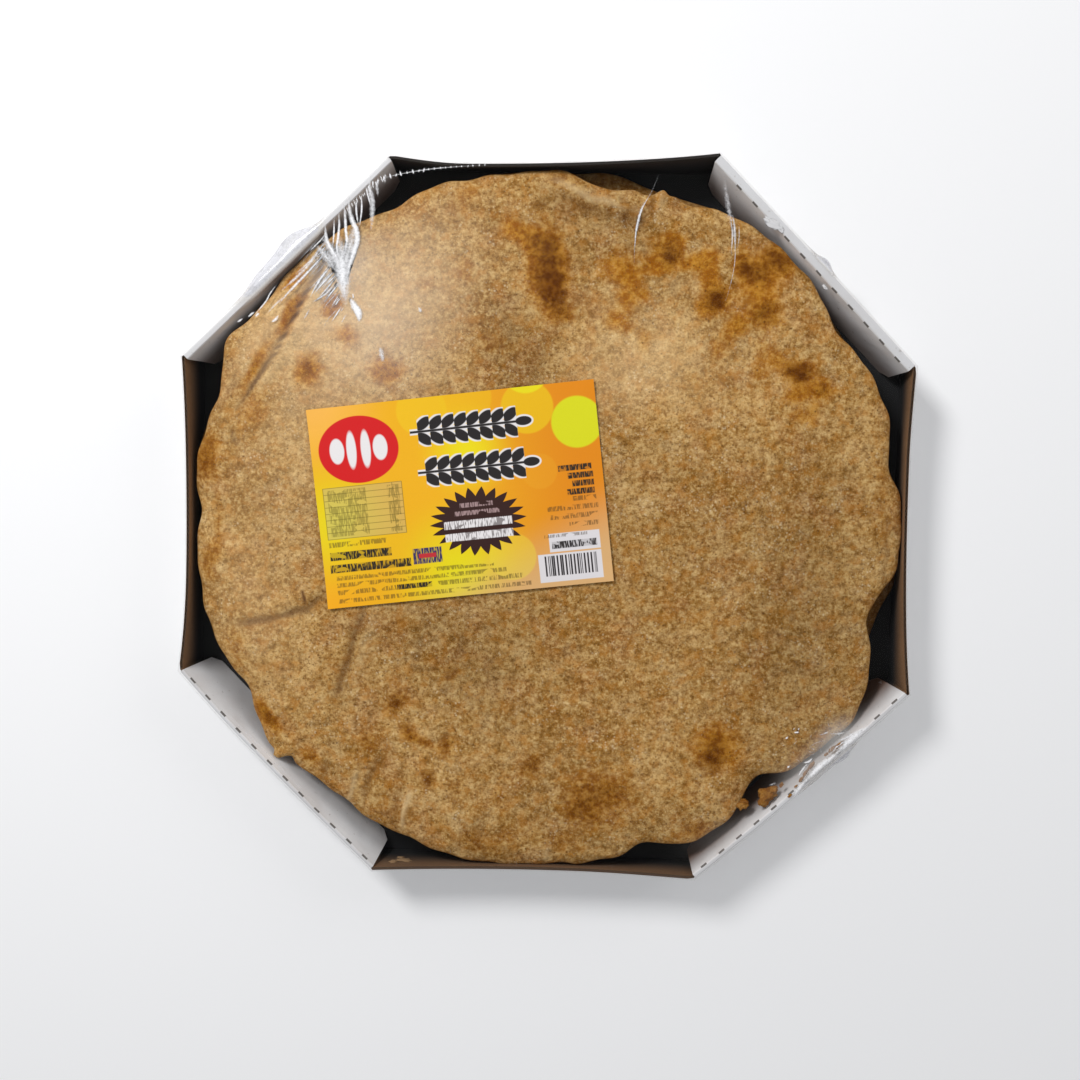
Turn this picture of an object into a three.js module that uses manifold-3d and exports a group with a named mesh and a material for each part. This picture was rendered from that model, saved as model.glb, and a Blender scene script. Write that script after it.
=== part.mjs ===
// Two large barley naan breads in an eight-sided board tray, wrapped in clear film, with a label on top.
// Millimetres, +Z up. The origin is the middle of the tray's underside, and +Y is the tray's far side.

import * as THREE from 'three';
import { mergeVertices } from 'three/addons/utils/BufferGeometryUtils.js';
import Module from 'manifold-3d';

const wasm = await Module();
wasm.setup();

// Tray: four plain walls, and four diagonal walls whose board is rolled over into a double wall
const trayWidth = 374;
const trayDepth = 370;
const farWallLength = 166;
const trayHeight = 30;
const board = 1.6;
const rollDrop = 0.3;
const flapBoard = 1.2;
const flapFoot = 8.5;

// Where a flap ends, measured from the corner: at its fold, at its shoulder and at its foot
const flapEnds = [{ z: 30, inset: 2 }, { z: 6.5, inset: 4.5 }, { z: 0, inset: 12 }];

// The diagonal walls' rolls, and how deep each is along its top; the walls are counted anticlockwise
// from the one on +X, and the odd ones are the diagonals
const rolls = [{ wall: 1, top: 4.4 }, { wall: 3, top: 4.4 }, { wall: 5, top: 2 }, { wall: 7, top: 2.4 }];

// Joining the rolls to the walls leaves slivers, and those narrower than this are taken out
const sliver = 0.06;

// How far each wall's rim stands out from a straight line, and where along the wall it does most
const rimBows = [
  { out: -2.4, most: 0.7 },
  { out: 0.3, most: 0.4 },
  { out: -4.8, most: 0.75 },
  { out: -0.3, most: 0.5 },
  { out: -1.7, most: 0.7 },
  { out: 1.7, most: 0.35 },
  { out: -2.6, most: 0.6 },
  { out: 1.4, most: 0.4 },
];

// How far each corner of the rim is pushed out of place, in X and Y, from the one low on the +X wall.
// That fades evenly along a diagonal, and within a few centimetres along a plain wall.
const rimCorners = [
  [2.6, -2.9], [-0.8, 1.6], [1.1, 1.8], [0.4, -1.4], [-1.5, -0.8], [-2.1, -2.1], [-2.6, -0.8], [0, 0.6],
].map(([x, y]) => new THREE.Vector2(x, y));
const plainFade = 6;

// Breads: both nearly fill the tray, with soft lobes and dips round the edge
const breadRadius = 183.5;
const shoulder = 0.86;
const crownHeight = 31.6;
const shoulderHeight = 29.5;
const lowerSize = 0.99;
const lowerTurn = 200;
const roomMargin = 0.5;

// Each dip in the edge: its direction in degrees, how deep it is, and how wide it is in degrees
const edgeDips = [
  { at: 11, deep: 4.5, wide: 4.5 },
  { at: 35, deep: 5.5, wide: 7 },
  { at: 75, deep: 8.5, wide: 8 },
  { at: 96, deep: 5, wide: 8 },
  { at: 116, deep: 5.5, wide: 9 },
  { at: 160, deep: 2.5, wide: 4 },
  { at: 180, deep: 4, wide: 4.5 },
  { at: 210, deep: 4.5, wide: 4 },
  { at: 234, deep: 2.5, wide: 6 },
  { at: 246, deep: 2, wide: 4 },
  { at: 281, deep: 2.5, wide: 6 },
  { at: 289, deep: 6.5, wide: 3.5 },
  { at: 310.5, deep: 10.5, wide: 4.5 },
  { at: 345.5, deep: 9, wide: 6 },
];

// Each lobe that stands out past the round, in the same three measures
const edgeLobes = [
  { at: 152, high: 5.5, wide: 4 },
  { at: 221, high: 2.5, wide: 4 },
  { at: 298, high: 2.5, wide: 4 },
  { at: 329, high: 6.5, wide: 8 },
];

// Slow swells of a bread's top: wave length, direction in degrees, start of the wave, share of the height
const swellHeight = 1.2;
const swells = [
  { wave: 168, turn: 25, start: 0.4, share: 0.4 },
  { wave: 121, turn: 112, start: 1.9, share: 0.35 },
  { wave: 83, turn: 68, start: 3.1, share: 0.25 },
];

// Film: tight on the bread, straight across to the rim, down the walls, and gathered into ears
const filmThickness = 0.4;
const filmGap = 0.3;
const filmSpan = 30.5;
const filmHem = 1.5;
const ears = [
  { wall: 1, out: 1.6, most: 0.47, wide: 0.1 },
  { wall: 3, out: 4.6, most: 0.45, wide: 0.17 },
  { wall: 7, out: 3.2, most: 0.64, wide: 0.13 },
];

// Heights on the walls, from the rim to the hem, and how much of an ear shows there
const wallLevels = [{ z: 23, ear: 0.8 }, { z: 13, ear: 1 }, { z: filmHem, ear: 0 }];

// Label: one card lying on the film, turned a little
const labelSize = new THREE.Vector3(148, 103, 0.3);
const labelCentre = new THREE.Vector2(-43.1, 12.3);
const labelTurn = 7.3;
const labelCells = new THREE.Vector2(12, 8);
const labelGap = 0.5;

const wallSteps = 12;
const degree = Math.PI / 180;

// The eight corners of the tray's outline, moved outwards by an offset, starting low on the +X wall
function corners(offset) {
  const halfWidth = trayWidth / 2 + offset;
  const halfDepth = trayDepth / 2 + offset;
  const diagonal = (trayDepth + farWallLength) / 2 + offset * Math.SQRT2;
  const alongY = diagonal - halfWidth;
  const alongX = diagonal - halfDepth;
  return [
    [halfWidth, -alongY], [halfWidth, alongY], [alongX, halfDepth], [-alongX, halfDepth],
    [-halfWidth, alongY], [-halfWidth, -alongY], [-alongX, -halfDepth], [alongX, -halfDepth],
  ].map(([x, y]) => new THREE.Vector2(x, y));
}

// Each wall's line: where it starts, which way it runs, its length, and the way out of the tray
const walls = corners(0).map((start, wall, ring) => {
  const along = ring[(wall + 1) % ring.length].clone().sub(start);
  const length = along.length();
  along.normalize();
  return { start, along, length, outward: new THREE.Vector2(along.y, -along.x) };
});

// A half sine that peaks away from the middle of its run
function bulge(share, most) {
  const warped = share < most ? share / most : (1 - share) / (1 - most);
  return Math.sin((warped * Math.PI) / 2);
}

function bell(distance, wide) {
  return Math.exp(-((distance / wide) ** 2));
}

// How far a wall stands out of its straight line: the foot stays straight, and the rim bows and shifts
function lean(wall, share, z) {
  const { out, most } = rimBows[wall];
  const fade = wall % 2 === 1 ? 1 : plainFade;
  return new THREE.Vector2()
    .addScaledVector(rimCorners[wall], (1 - share) ** fade)
    .addScaledVector(rimCorners[(wall + 1) % walls.length], share ** fade)
    .addScaledVector(walls[wall].outward, out * bulge(share, most))
    .multiplyScalar(z / trayHeight);
}

// Points round the tray at an offset from its walls and a height, the same number on every wall
function wallRing(offset, z, extra = () => 0) {
  const from = corners(offset);
  const ring = [];
  for (let wall = 0; wall < walls.length; wall += 1) {
    const { outward } = walls[wall];
    for (let step = 0; step < wallSteps; step += 1) {
      const share = step / wallSteps;
      const spot = from[wall].clone().lerp(from[(wall + 1) % walls.length], share);
      spot.add(lean(wall, share, Math.min(z, trayHeight))).addScaledVector(outward, extra(wall, share));
      ring.push(new THREE.Vector3(spot.x, spot.y, z));
    }
  }
  return ring;
}

// The directions, seen from the middle, in which the breads and the film have their points
const directions = wallRing(0, 0).map(({ x, y }) => Math.atan2(y, x));

// A closed skin from one middle point, over rings of equal count, to another middle point
function ringSkin(start, rings, end) {
  const count = rings[0].length;
  const vertices = [start, ...rings.flat(), end];
  const last = vertices.length - 1;
  const faces = [];
  for (let i = 0; i < count; i += 1) {
    const next = (i + 1) % count;
    faces.push(0, 1 + i, 1 + next);
    for (let ring = 0; ring < rings.length - 1; ring += 1) {
      const near = 1 + ring * count;
      const far = near + count;
      faces.push(near + i, far + i, far + next);
      faces.push(near + i, far + next, near + next);
    }
    const base = 1 + (rings.length - 1) * count;
    faces.push(base + i, last, base + next);
  }
  const geometry = new THREE.BufferGeometry().setFromPoints(vertices);
  geometry.setIndex(faces);
  return geometry;
}

// A closed bar from sections of equal count, one after the other, with flat ends
function sectionBar(sections) {
  const count = sections[0].length;
  const faces = [];
  for (let i = 0; i < count; i += 1) {
    const next = (i + 1) % count;
    for (let station = 0; station < sections.length - 1; station += 1) {
      const near = station * count;
      const far = near + count;
      faces.push(near + i, far + next, far + i);
      faces.push(near + i, near + next, far + next);
    }
  }
  const contour = sections[0].map((spot) => new THREE.Vector2(spot.deep, spot.z));
  const lastStart = (sections.length - 1) * count;
  for (const [a, b, c] of THREE.ShapeUtils.triangulateShape(contour, [])) {
    faces.push(a, c, b);
    faces.push(lastStart + a, lastStart + b, lastStart + c);
  }
  const geometry = new THREE.BufferGeometry();
  geometry.setFromPoints(sections.flat().map(({ x, y, z }) => new THREE.Vector3(x, y, z)));
  geometry.setIndex(faces);
  return geometry;
}

function solid(geometry) {
  geometry.deleteAttribute('normal');
  geometry.deleteAttribute('uv');
  const merged = mergeVertices(geometry, 1e-4);
  return new wasm.Manifold(new wasm.Mesh({
    numProp: 3,
    vertProperties: new Float32Array(merged.attributes.position.array),
    triVerts: new Uint32Array(merged.index.array),
  }));
}

function surface(manifold) {
  const mesh = manifold.getMesh();
  const geometry = new THREE.BufferGeometry();
  geometry.setAttribute('position', new THREE.BufferAttribute(mesh.vertProperties, 3));
  geometry.setIndex(new THREE.BufferAttribute(mesh.triVerts, 1));
  return geometry;
}

// Where a flap ends at a height, from the corner
function flapInset(z) {
  const [fold, turn, foot] = flapEnds;
  const [low, high] = z > turn.z ? [turn, fold] : [foot, turn];
  return THREE.MathUtils.mapLinear(z, low.z, high.z, low.inset, high.inset);
}

// The roll of a diagonal wall: along the top, down the leaning flap, and back up its hidden face
function rollGeometry({ wall, top: crease }) {
  const { start, along, length, outward } = walls[wall];
  const sunk = board / 2;
  const top = trayHeight - rollDrop;
  const turn = THREE.MathUtils.mapLinear(flapEnds[1].z, trayHeight, sunk, crease, flapFoot);
  const section = [
    { deep: sunk, z: top },
    { deep: sunk, z: top - flapBoard },
    { deep: Math.max(crease - flapBoard, board - 0.2), z: top - flapBoard },
    { deep: turn - flapBoard, z: flapEnds[1].z },
    { deep: flapFoot - flapBoard, z: sunk },
    { deep: flapFoot, z: sunk },
    { deep: turn, z: flapEnds[1].z },
    { deep: crease, z: top },
  ];
  const sections = [];
  for (let step = 0; step <= wallSteps; step += 1) {
    sections.push(section.map(({ deep, z }) => {
      const inset = flapInset(z);
      const run = inset + ((length - 2 * inset) * step) / wallSteps;
      const spot = start.clone().addScaledVector(along, run).addScaledVector(outward, -deep);
      spot.add(lean(wall, run / length, z));
      return { x: spot.x, y: spot.y, z, deep };
    }));
  }
  return sectionBar(sections);
}

function trayGeometry() {
  const levels = wallLevels.map(({ z }) => z);
  const shell = ringSkin(
    new THREE.Vector3(0, 0, board),
    [
      wallRing(-board, board),
      wallRing(-board, trayHeight),
      wallRing(0, trayHeight),
      ...levels.map((z) => wallRing(0, z)),
      wallRing(0, 0),
    ],
    new THREE.Vector3(0, 0, 0),
  );
  let tray = solid(shell);
  for (const roll of rolls) {
    tray = tray.add(solid(rollGeometry(roll)));
  }
  return surface(tray.simplify(sliver));
}

// How far a bread's edge reaches in a direction
function breadReach(angle) {
  const away = (at) => THREE.MathUtils.euclideanModulo(angle / degree - at + 180, 360) - 180;
  let reach = breadRadius;
  for (const { at, deep, wide } of edgeDips) {
    reach -= deep * bell(away(at), wide);
  }
  for (const { at, high, wide } of edgeLobes) {
    reach += high * bell(away(at), wide);
  }
  return reach;
}

// How far the room inside the tray reaches in a direction, at a height
function roomReach(i, z) {
  const angle = directions[i];
  const own = Math.floor(i / wallSteps);
  const share = (i % wallSteps) / wallSteps;
  const limits = walls.map(({ start, outward }, wall) => {
    const facing = outward.x * Math.cos(angle) + outward.y * Math.sin(angle);
    const roll = rolls.find((one) => one.wall === wall);
    const thick = roll ? THREE.MathUtils.mapLinear(z, trayHeight, 0, roll.top, flapFoot) : board;
    const out = wall === own ? lean(wall, share, z).dot(outward) : Math.min(0, rimBows[wall].out * 0.3);
    return facing > 0.5 ? (start.dot(outward) + out - thick - roomMargin) / facing : Infinity;
  });
  return Math.min(...limits);
}

function swell(x, y) {
  let height = 0;
  for (const { wave, turn, start, share } of swells) {
    const run = x * Math.cos(turn * degree) + y * Math.sin(turn * degree);
    height += share * Math.sin((run / wave) * 2 * Math.PI + start);
  }
  return height * swellHeight;
}

// Height of the upper bread's top, before its swells, from the middle out to its shoulder
function crown(share) {
  return crownHeight - (crownHeight - shoulderHeight) * (share / shoulder) ** 3;
}

// One ring of a bread, at a share of its reach and a height, with some of the swells
function breadRing({ share, z, rise }, size, turn) {
  return directions.map((angle, i) => {
    const reach = Math.min(breadReach(angle - turn * degree) * size * share, roomReach(i, z));
    const x = reach * Math.cos(angle);
    const y = reach * Math.sin(angle);
    return new THREE.Vector3(x, y, z + rise * swell(x, y));
  });
}

const crownRings = [0.12, 0.25, 0.38, 0.51, 0.63, 0.75, shoulder].map((share) => (
  { share, z: crown(share), rise: 1 }
));

const upperBread = {
  top: crown(0) + swell(0, 0),
  bottom: 17.2,
  rings: [
    ...crownRings,
    { share: 0.94, z: 28.3, rise: 0.7 },
    { share: 0.975, z: 27, rise: 0.5 },
    { share: 0.993, z: 25.7, rise: 0.4 },
    { share: 1, z: 24.2, rise: 0.3 },
    { share: 0.99, z: 22.6, rise: 0.2 },
    { share: 0.96, z: 21, rise: 0 },
    { share: 0.9, z: 18.6, rise: 0 },
    { share: 0.7, z: 17.2, rise: 0 },
  ],
};

const lowerBread = {
  top: 16.6,
  bottom: 2,
  rings: [
    { share: 0.7, z: 16.6, rise: 0 },
    { share: 0.9, z: 15.8, rise: 0.2 },
    { share: 0.97, z: 14, rise: 0.3 },
    { share: 1, z: 11.2, rise: 0.3 },
    { share: 0.985, z: 8.8, rise: 0.2 },
    { share: 0.94, z: 6, rise: 0 },
    { share: 0.86, z: 2, rise: 0 },
  ],
};

function breadGeometry(bread, size, turn) {
  const rings = bread.rings.map((ring) => breadRing(ring, size, turn));
  return ringSkin(new THREE.Vector3(0, 0, bread.top), rings, new THREE.Vector3(0, 0, bread.bottom));
}

function earOut(wall, share) {
  let out = 0;
  for (const ear of ears) {
    if (ear.wall === wall) {
      out += ear.out * bell(share - ear.most, ear.wide) * bulge(share, ear.most);
    }
  }
  return out;
}

// One face of the film as rings from the middle to the hem, at a distance from what it lies on
function filmFace(distance) {
  const lift = distance - filmGap;
  const onBread = crownRings.map((ring) => breadRing(ring, 1, 0).map(({ x, y, z }) => {
    const taut = ring.share === shoulder ? filmSpan : 0;
    return new THREE.Vector3(x, y, Math.max(z + filmGap, taut) + lift);
  }));
  return [
    ...onBread,
    wallRing(-rolls[0].top, trayHeight + distance),
    wallRing(distance, trayHeight + distance),
    ...wallLevels.map(({ z, ear }) => wallRing(distance, z, (wall, share) => earOut(wall, share) * ear)),
  ];
}

function filmGeometry() {
  const outside = filmFace(filmGap + filmThickness);
  const inside = filmFace(filmGap).reverse();
  const middle = upperBread.top + filmGap;
  return ringSkin(
    new THREE.Vector3(0, 0, middle + filmThickness),
    [...outside, ...inside],
    new THREE.Vector3(0, 0, middle),
  );
}

// The card is bent to lie on the film
function labelGeometry() {
  const card = new THREE.BoxGeometry(...labelSize, labelCells.x, labelCells.y, 1);
  const position = card.attributes.position;
  for (let i = 0; i < position.count; i += 1) {
    const spot = new THREE.Vector2(position.getX(i), position.getY(i));
    spot.rotateAround(new THREE.Vector2(), labelTurn * degree).add(labelCentre);
    const under = crown(spot.length() / breadReach(spot.angle())) + swell(spot.x, spot.y);
    const rest = under + filmGap + filmThickness + labelGap;
    position.setZ(i, position.getZ(i) + labelSize.z / 2 + rest);
  }
  return card;
}

function part(name, geometry, look) {
  const mesh = new THREE.Mesh(geometry, new THREE.MeshStandardMaterial(look));
  mesh.name = name;
  return mesh;
}

const crust = { color: 0xb98d5e, roughness: 0.85, metalness: 0 };
const clear = { color: 0xf4f7fa, roughness: 0.1, metalness: 0, transparent: true, opacity: 0.2 };

const pack = new THREE.Group();
pack.add(part('tray', trayGeometry(), { color: 0xa07a55, roughness: 0.8, metalness: 0 }));
pack.add(part('naan_lower', breadGeometry(lowerBread, lowerSize, lowerTurn), crust));
pack.add(part('naan_upper', breadGeometry(upperBread, 1, 0), crust));
pack.add(part('film', filmGeometry(), clear));

const label = part('label', labelGeometry(), { color: 0xf2a81c, roughness: 0.35, metalness: 0 });
label.position.set(labelCentre.x, labelCentre.y, 0);
label.rotation.z = labelTurn * degree;
pack.add(label);

export default pack;
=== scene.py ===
# A pack of two large barley naan breads: the looks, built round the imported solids.
# Sizes in the dictionaries are millimetres and become metres where a mesh is made. +Z is up.
import math

import bpy
import numpy as np
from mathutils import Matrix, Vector, noise


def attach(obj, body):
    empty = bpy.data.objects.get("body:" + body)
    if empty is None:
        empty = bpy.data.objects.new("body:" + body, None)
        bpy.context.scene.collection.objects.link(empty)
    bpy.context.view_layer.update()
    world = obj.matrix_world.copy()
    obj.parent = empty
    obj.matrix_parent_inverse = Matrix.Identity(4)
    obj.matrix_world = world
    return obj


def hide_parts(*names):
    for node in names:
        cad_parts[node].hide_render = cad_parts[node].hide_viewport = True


print("loading the packed solids")
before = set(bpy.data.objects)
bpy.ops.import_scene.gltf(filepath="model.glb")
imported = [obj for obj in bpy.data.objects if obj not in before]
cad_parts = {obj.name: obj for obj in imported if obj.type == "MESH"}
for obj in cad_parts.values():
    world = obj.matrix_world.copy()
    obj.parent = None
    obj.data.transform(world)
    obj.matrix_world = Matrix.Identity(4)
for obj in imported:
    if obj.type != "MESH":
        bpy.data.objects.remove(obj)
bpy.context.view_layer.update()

mm = 0.001
quarter = math.pi / 2

tray = {
    "width": 374, "depth": 370, "farWall": 166, "height": 30, "board": 1.6, "under": 0.2,
    # how far each wall's rim stands out of its straight line, and where it does most;
    # the walls run anticlockwise from the one on +X, and the odd ones are the diagonals
    "bows": [
        (-2.4, 0.7), (0.3, 0.4), (-4.8, 0.75), (-0.3, 0.5), (-1.7, 0.7), (1.7, 0.35), (-2.6, 0.6), (1.4, 0.4),
    ],
    # how far each corner of the rim is pushed out of place, in X and Y; that fades evenly along a
    # diagonal, and within a few centimetres along a plain wall
    "corners": [
        (2.6, -2.9), (-0.8, 1.6), (1.1, 1.8), (0.4, -1.4), (-1.5, -0.8), (-2.1, -2.1), (-2.6, -0.8), (0, 0.6),
    ],
    "fade": 6,
    "steps": 48,
    "liner": 0.3, "fluteWalls": (0, 4), "flutePitch": 2.95, "fluteDepth": 2.6, "fluteThick": 0.2,
}

roll = {
    "tops": {1: 4.4, 3: 3.2, 5: 2.0, 7: 2.4}, "foot": 8.5, "board": 1.1, "bend": 1.1,
    # painted shade, warm brown, on each flap towards its foot: how much, and between which heights
    "footShade": {1: (0.8, 4, 27), 3: (0.85, 11, 31), 5: (0.25, 6, 27), 7: (1.0, 12, 31)},
    # and more painted shade in the middle of one flap: which, where along it, how wide, how much
    "middleShade": (3, 0.5, 0.24, 0.8),
    # where the flap ends at its fold, at its shoulder and at its foot, from the corner
    "ends": [(30, 1.2), (6.5, 4.5), (0.8, 11)],
    "slitEvery": 12.05, "slitLong": 3.7, "slitWide": 0.5, "slitDeep": 0.4, "slitStart": 6.8, "slitEnd": 8,
    "slitWalls": (1, 5, 7), "steps": 45,
    # how far the tray's own wall ends under the roll's top, and inside the roll's outer face
    "tuck": (1.4, 0.35),
}

bread = {
    "radius": 183.5, "shoulder": 0.86, "crown": 31.6, "drop": 2.1, "edgeHeight": 24.2,
    "swellHeight": 1.2,
    # how far each bread stays inside the walls, and inside the flaps
    "upperRoom": (-2.1, -1.0), "lowerRoom": (-2.2, 0.2),
    # the lower bread: its size against the upper one's, its turn, one lobe more (how far out, its
    # direction, how wide), and between which places its far side comes into the light
    "lowerSize": 0.99, "lowerTurn": 200, "lowerLobe": (2.4, 80, 7), "lowerLight": (100, 165),
    # slow swells: wave length, direction in degrees, start, share of the height
    "swells": [(168, 25, 0.4, 0.4), (121, 112, 1.9, 0.35), (83, 68, 3.1, 0.25)],
    # dips and lobes of the edge: direction in degrees, how far in, how wide in degrees
    "edge": [
        (11, 4.5, 4.5), (35, 5.5, 7), (75, 8.5, 8), (96, 5, 8), (116, 5.5, 9), (160, 2.5, 4), (180, 4, 4.5),
        (210, 4.5, 4), (234, 2.5, 6), (246, 2, 4), (281, 2.5, 6), (289, 6.5, 3.5), (310.5, 10.5, 4.5),
        (345.5, 9, 6), (152, -5.5, 4), (221, -2.5, 4), (298, -2.5, 4), (329, -6.5, 8),
    ],
    # small tears and peaks of the upper bread's edge
    "tears": [
        (222.8, -5.5, 0.7), (71.5, -4.5, 1.1), (69.2, -2.2, 1.3), (74.5, 1.0, 1.0), (224.6, 1.6, 0.7),
        (84.5, 5.2, 5.5), (103.5, 2.3, 4), (66, 4.4, 5.5), (81, 3.0, 3.4),
    ],
}


def outlineCorners(offset):
    halfWidth = tray["width"] / 2 + offset
    halfDepth = tray["depth"] / 2 + offset
    diagonal = (tray["depth"] + tray["farWall"]) / 2 + offset * math.sqrt(2)
    alongY = diagonal - halfWidth
    alongX = diagonal - halfDepth
    return np.array([
        (halfWidth, -alongY), (halfWidth, alongY), (alongX, halfDepth), (-alongX, halfDepth),
        (-halfWidth, alongY), (-halfWidth, -alongY), (-alongX, -halfDepth), (alongX, -halfDepth),
    ])


wallStart = outlineCorners(0)
wallAlong = np.roll(wallStart, -1, axis=0) - wallStart
wallLength = np.linalg.norm(wallAlong, axis=1)
wallAlong = wallAlong / wallLength[:, None]
wallOut = np.stack([wallAlong[:, 1], -wallAlong[:, 0]], axis=1)


def rimLean(wall, share, z):
    # how far a wall stands out of its straight line, in X and Y: the foot stays and the rim leans
    out, most = tray["bows"][wall]
    share = np.clip(share, 0, 1)
    fade = 1 if wall % 2 else tray["fade"]
    warped = np.where(share < most, share / most, (1 - share) / (1 - most))
    lean = np.multiply.outer((1 - share) ** fade, tray["corners"][wall])
    lean = lean + np.multiply.outer(share ** fade, tray["corners"][(wall + 1) % 8])
    lean = lean + np.multiply.outer(out * np.sin(warped * quarter), wallOut[wall])
    return lean * np.expand_dims(np.minimum(z, tray["height"]) / tray["height"], -1)


def wallSpots(wall, share, z, offset=0.0, out=0.0):
    # points along a wall at a height, moved out of the tray by an offset
    start = outlineCorners(offset)
    run = np.multiply.outer(share, start[(wall + 1) % 8] - start[wall])
    return start[wall] + run + rimLean(wall, share, z) + np.multiply.outer(out, wallOut[wall])


def flapDepth(wall, z):
    # how deep a diagonal's leaning flap lies inside it at a height
    crease = roll["tops"][wall]
    return crease + (roll["foot"] - crease) * (tray["height"] - z) / tray["height"]


def wallReach(angle, z, offset=0.0, clear=None):
    # how far the walls are in each direction, at a height, and short of the flaps if clear is given
    angle = np.asarray(angle, float)
    reach = np.full(angle.shape, np.inf)
    ray = np.stack(polar(angle), axis=-1)
    for wall in range(8):
        facing = ray @ wallOut[wall]
        facing = np.where(facing > 0.3, facing, np.nan)
        flat = wallStart[wall] @ wallOut[wall]
        share = ((ray * (flat / facing)[..., None] - wallStart[wall]) @ wallAlong[wall]) / wallLength[wall]
        own = flat + rimLean(wall, share, z) @ wallOut[wall] + offset
        if wall % 2 and clear is not None:
            own = own - flapDepth(wall, z) - clear
        reach = np.fmin(reach, own / facing)
    return reach


def polar(angle, far=1):
    return far * np.cos(angle), far * np.sin(angle)


def netFaces(across, up):
    # quads of a net of points, and the loop of point numbers round its outside
    i, j = np.meshgrid(np.arange(across), np.arange(up), indexing="ij")
    near = (i * (up + 1) + j).ravel()
    faces = np.stack([near, near + up + 1, near + up + 2, near + 1], axis=1)
    i, j = np.arange(across), np.arange(up)
    loop = [i * (up + 1), across * (up + 1) + j, (across - i) * (up + 1) + up, up - j]
    return faces, np.concatenate(loop)


def diskGrid(cells):
    # a square net laid over a disc: each point's share of the way out and its direction, and its faces
    side = np.linspace(-1, 1, cells + 1)
    a, b = np.meshgrid(side, side, indexing="ij")
    flat = np.abs(a) > np.abs(b)
    safeA = np.where(a == 0, 1, a)
    safeB = np.where(b == 0, 1, b)
    far = np.where(flat, a, b)
    turn = np.where(flat, quarter / 2 * b / safeA, quarter - quarter / 2 * a / safeB)
    x, y = polar(turn, far)
    share = np.abs(far).ravel()
    angle = np.arctan2(y, x).ravel()
    return share, angle, *netFaces(cells, cells)


def ringFaces(first, second):
    # quads between two rings of point numbers that run the same way
    return np.stack([first, second, np.roll(second, -1), np.roll(first, -1)], axis=1)


def putIn(name, data):
    made = bpy.data.objects.new(name, data)
    bpy.context.scene.collection.objects.link(made)
    return made


def addPiece(name, points, faces, slot, *replaced, smooth=True):
    mesh = bpy.data.meshes.new(name)
    faceList = faces.tolist() if isinstance(faces, np.ndarray) else faces
    mesh.from_pydata((np.asarray(points, float) * mm).tolist(), [], faceList)
    mesh.polygons.foreach_set("use_smooth", [smooth] * len(mesh.polygons))
    mesh.update()
    piece = putIn(name, mesh)
    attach(piece, "root")
    if replaced:
        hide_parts(*replaced)
    return piece


def paint(piece, name, values):
    # a number at each point of the mesh, for a material to read
    attribute = piece.data.attributes.new(name, "FLOAT", "POINT")
    attribute.data.foreach_set("value", np.asarray(values, np.float32))


def paintAll(piece, **values):
    for name, value in values.items():
        paint(piece, name, np.full(len(piece.data.vertices), value))


def dress(piece, *materials):
    for material in materials:
        piece.data.materials.append(material)


def rough(points, size, seed):
    # smooth noise from -1 to 1 at each point, with bumps of about that size
    shift = Vector((seed * 7.31, seed * 3.17, seed * 1.93))
    return np.array([noise.noise(Vector(p) / size + shift) for p in points])


def flatPoints(x, y):
    return np.stack([x, y, np.zeros_like(x)], axis=1)


def step(low, high, value):
    share = np.clip((value - low) / (high - low), 0, 1)
    return share * share * (3 - 2 * share)


def turnedIn(x, y, cx, cy, degrees):
    # how far places are from a middle, along a direction and across it
    turn = math.radians(degrees)
    x, y = x - cx, y - cy
    return x * math.cos(turn) + y * math.sin(turn), y * math.cos(turn) - x * math.sin(turn)


def turnedOut(u, v, cx, cy, degrees):
    turn = math.radians(degrees)
    return cx + u * math.cos(turn) - v * math.sin(turn), cy + u * math.sin(turn) + v * math.cos(turn)


def patches(x, y, rows, sharp=1.0):
    # soft oval places, added up: middle, half sizes, turn, how much
    total = np.zeros(len(x))
    for cx, cy, wide, long, turn, much in rows:
        u, v = turnedIn(x, y, cx, cy, turn)
        total += much * np.exp(-((u / wide) ** 2 + (v / long) ** 2) * sharp)
    return total


class Skin:
    # a closed skin: a net or a fan, rings of points that go on from its edge, and a point that closes it
    def __init__(self, points, faces, loop):
        self.rows, self.faces, self.last, self.total = [points], list(faces), loop, len(points)

    def ring(self, points):
        new = self.total + np.arange(len(points))
        self.faces += ringFaces(self.last, new).tolist()
        self.rows.append(points)
        self.last, self.total = new, self.total + len(points)

    def close(self, z):
        self.faces += [(a, self.total, b) for a, b in zip(self.last, np.roll(self.last, -1))]
        self.rows.append(np.array([[0, 0, z]]))
        return np.concatenate(self.rows)


def skinFrom(z, rings):
    # a skin that starts as a fan from a point on the middle line
    loop = 1 + np.arange(len(rings[0]))
    fan = [(0, a, b) for a, b in zip(loop, np.roll(loop, -1))]
    skin = Skin(np.vstack([[0, 0, z], rings[0]]), fan, loop)
    for ring in rings[1:]:
        skin.ring(ring)
    return skin


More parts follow.
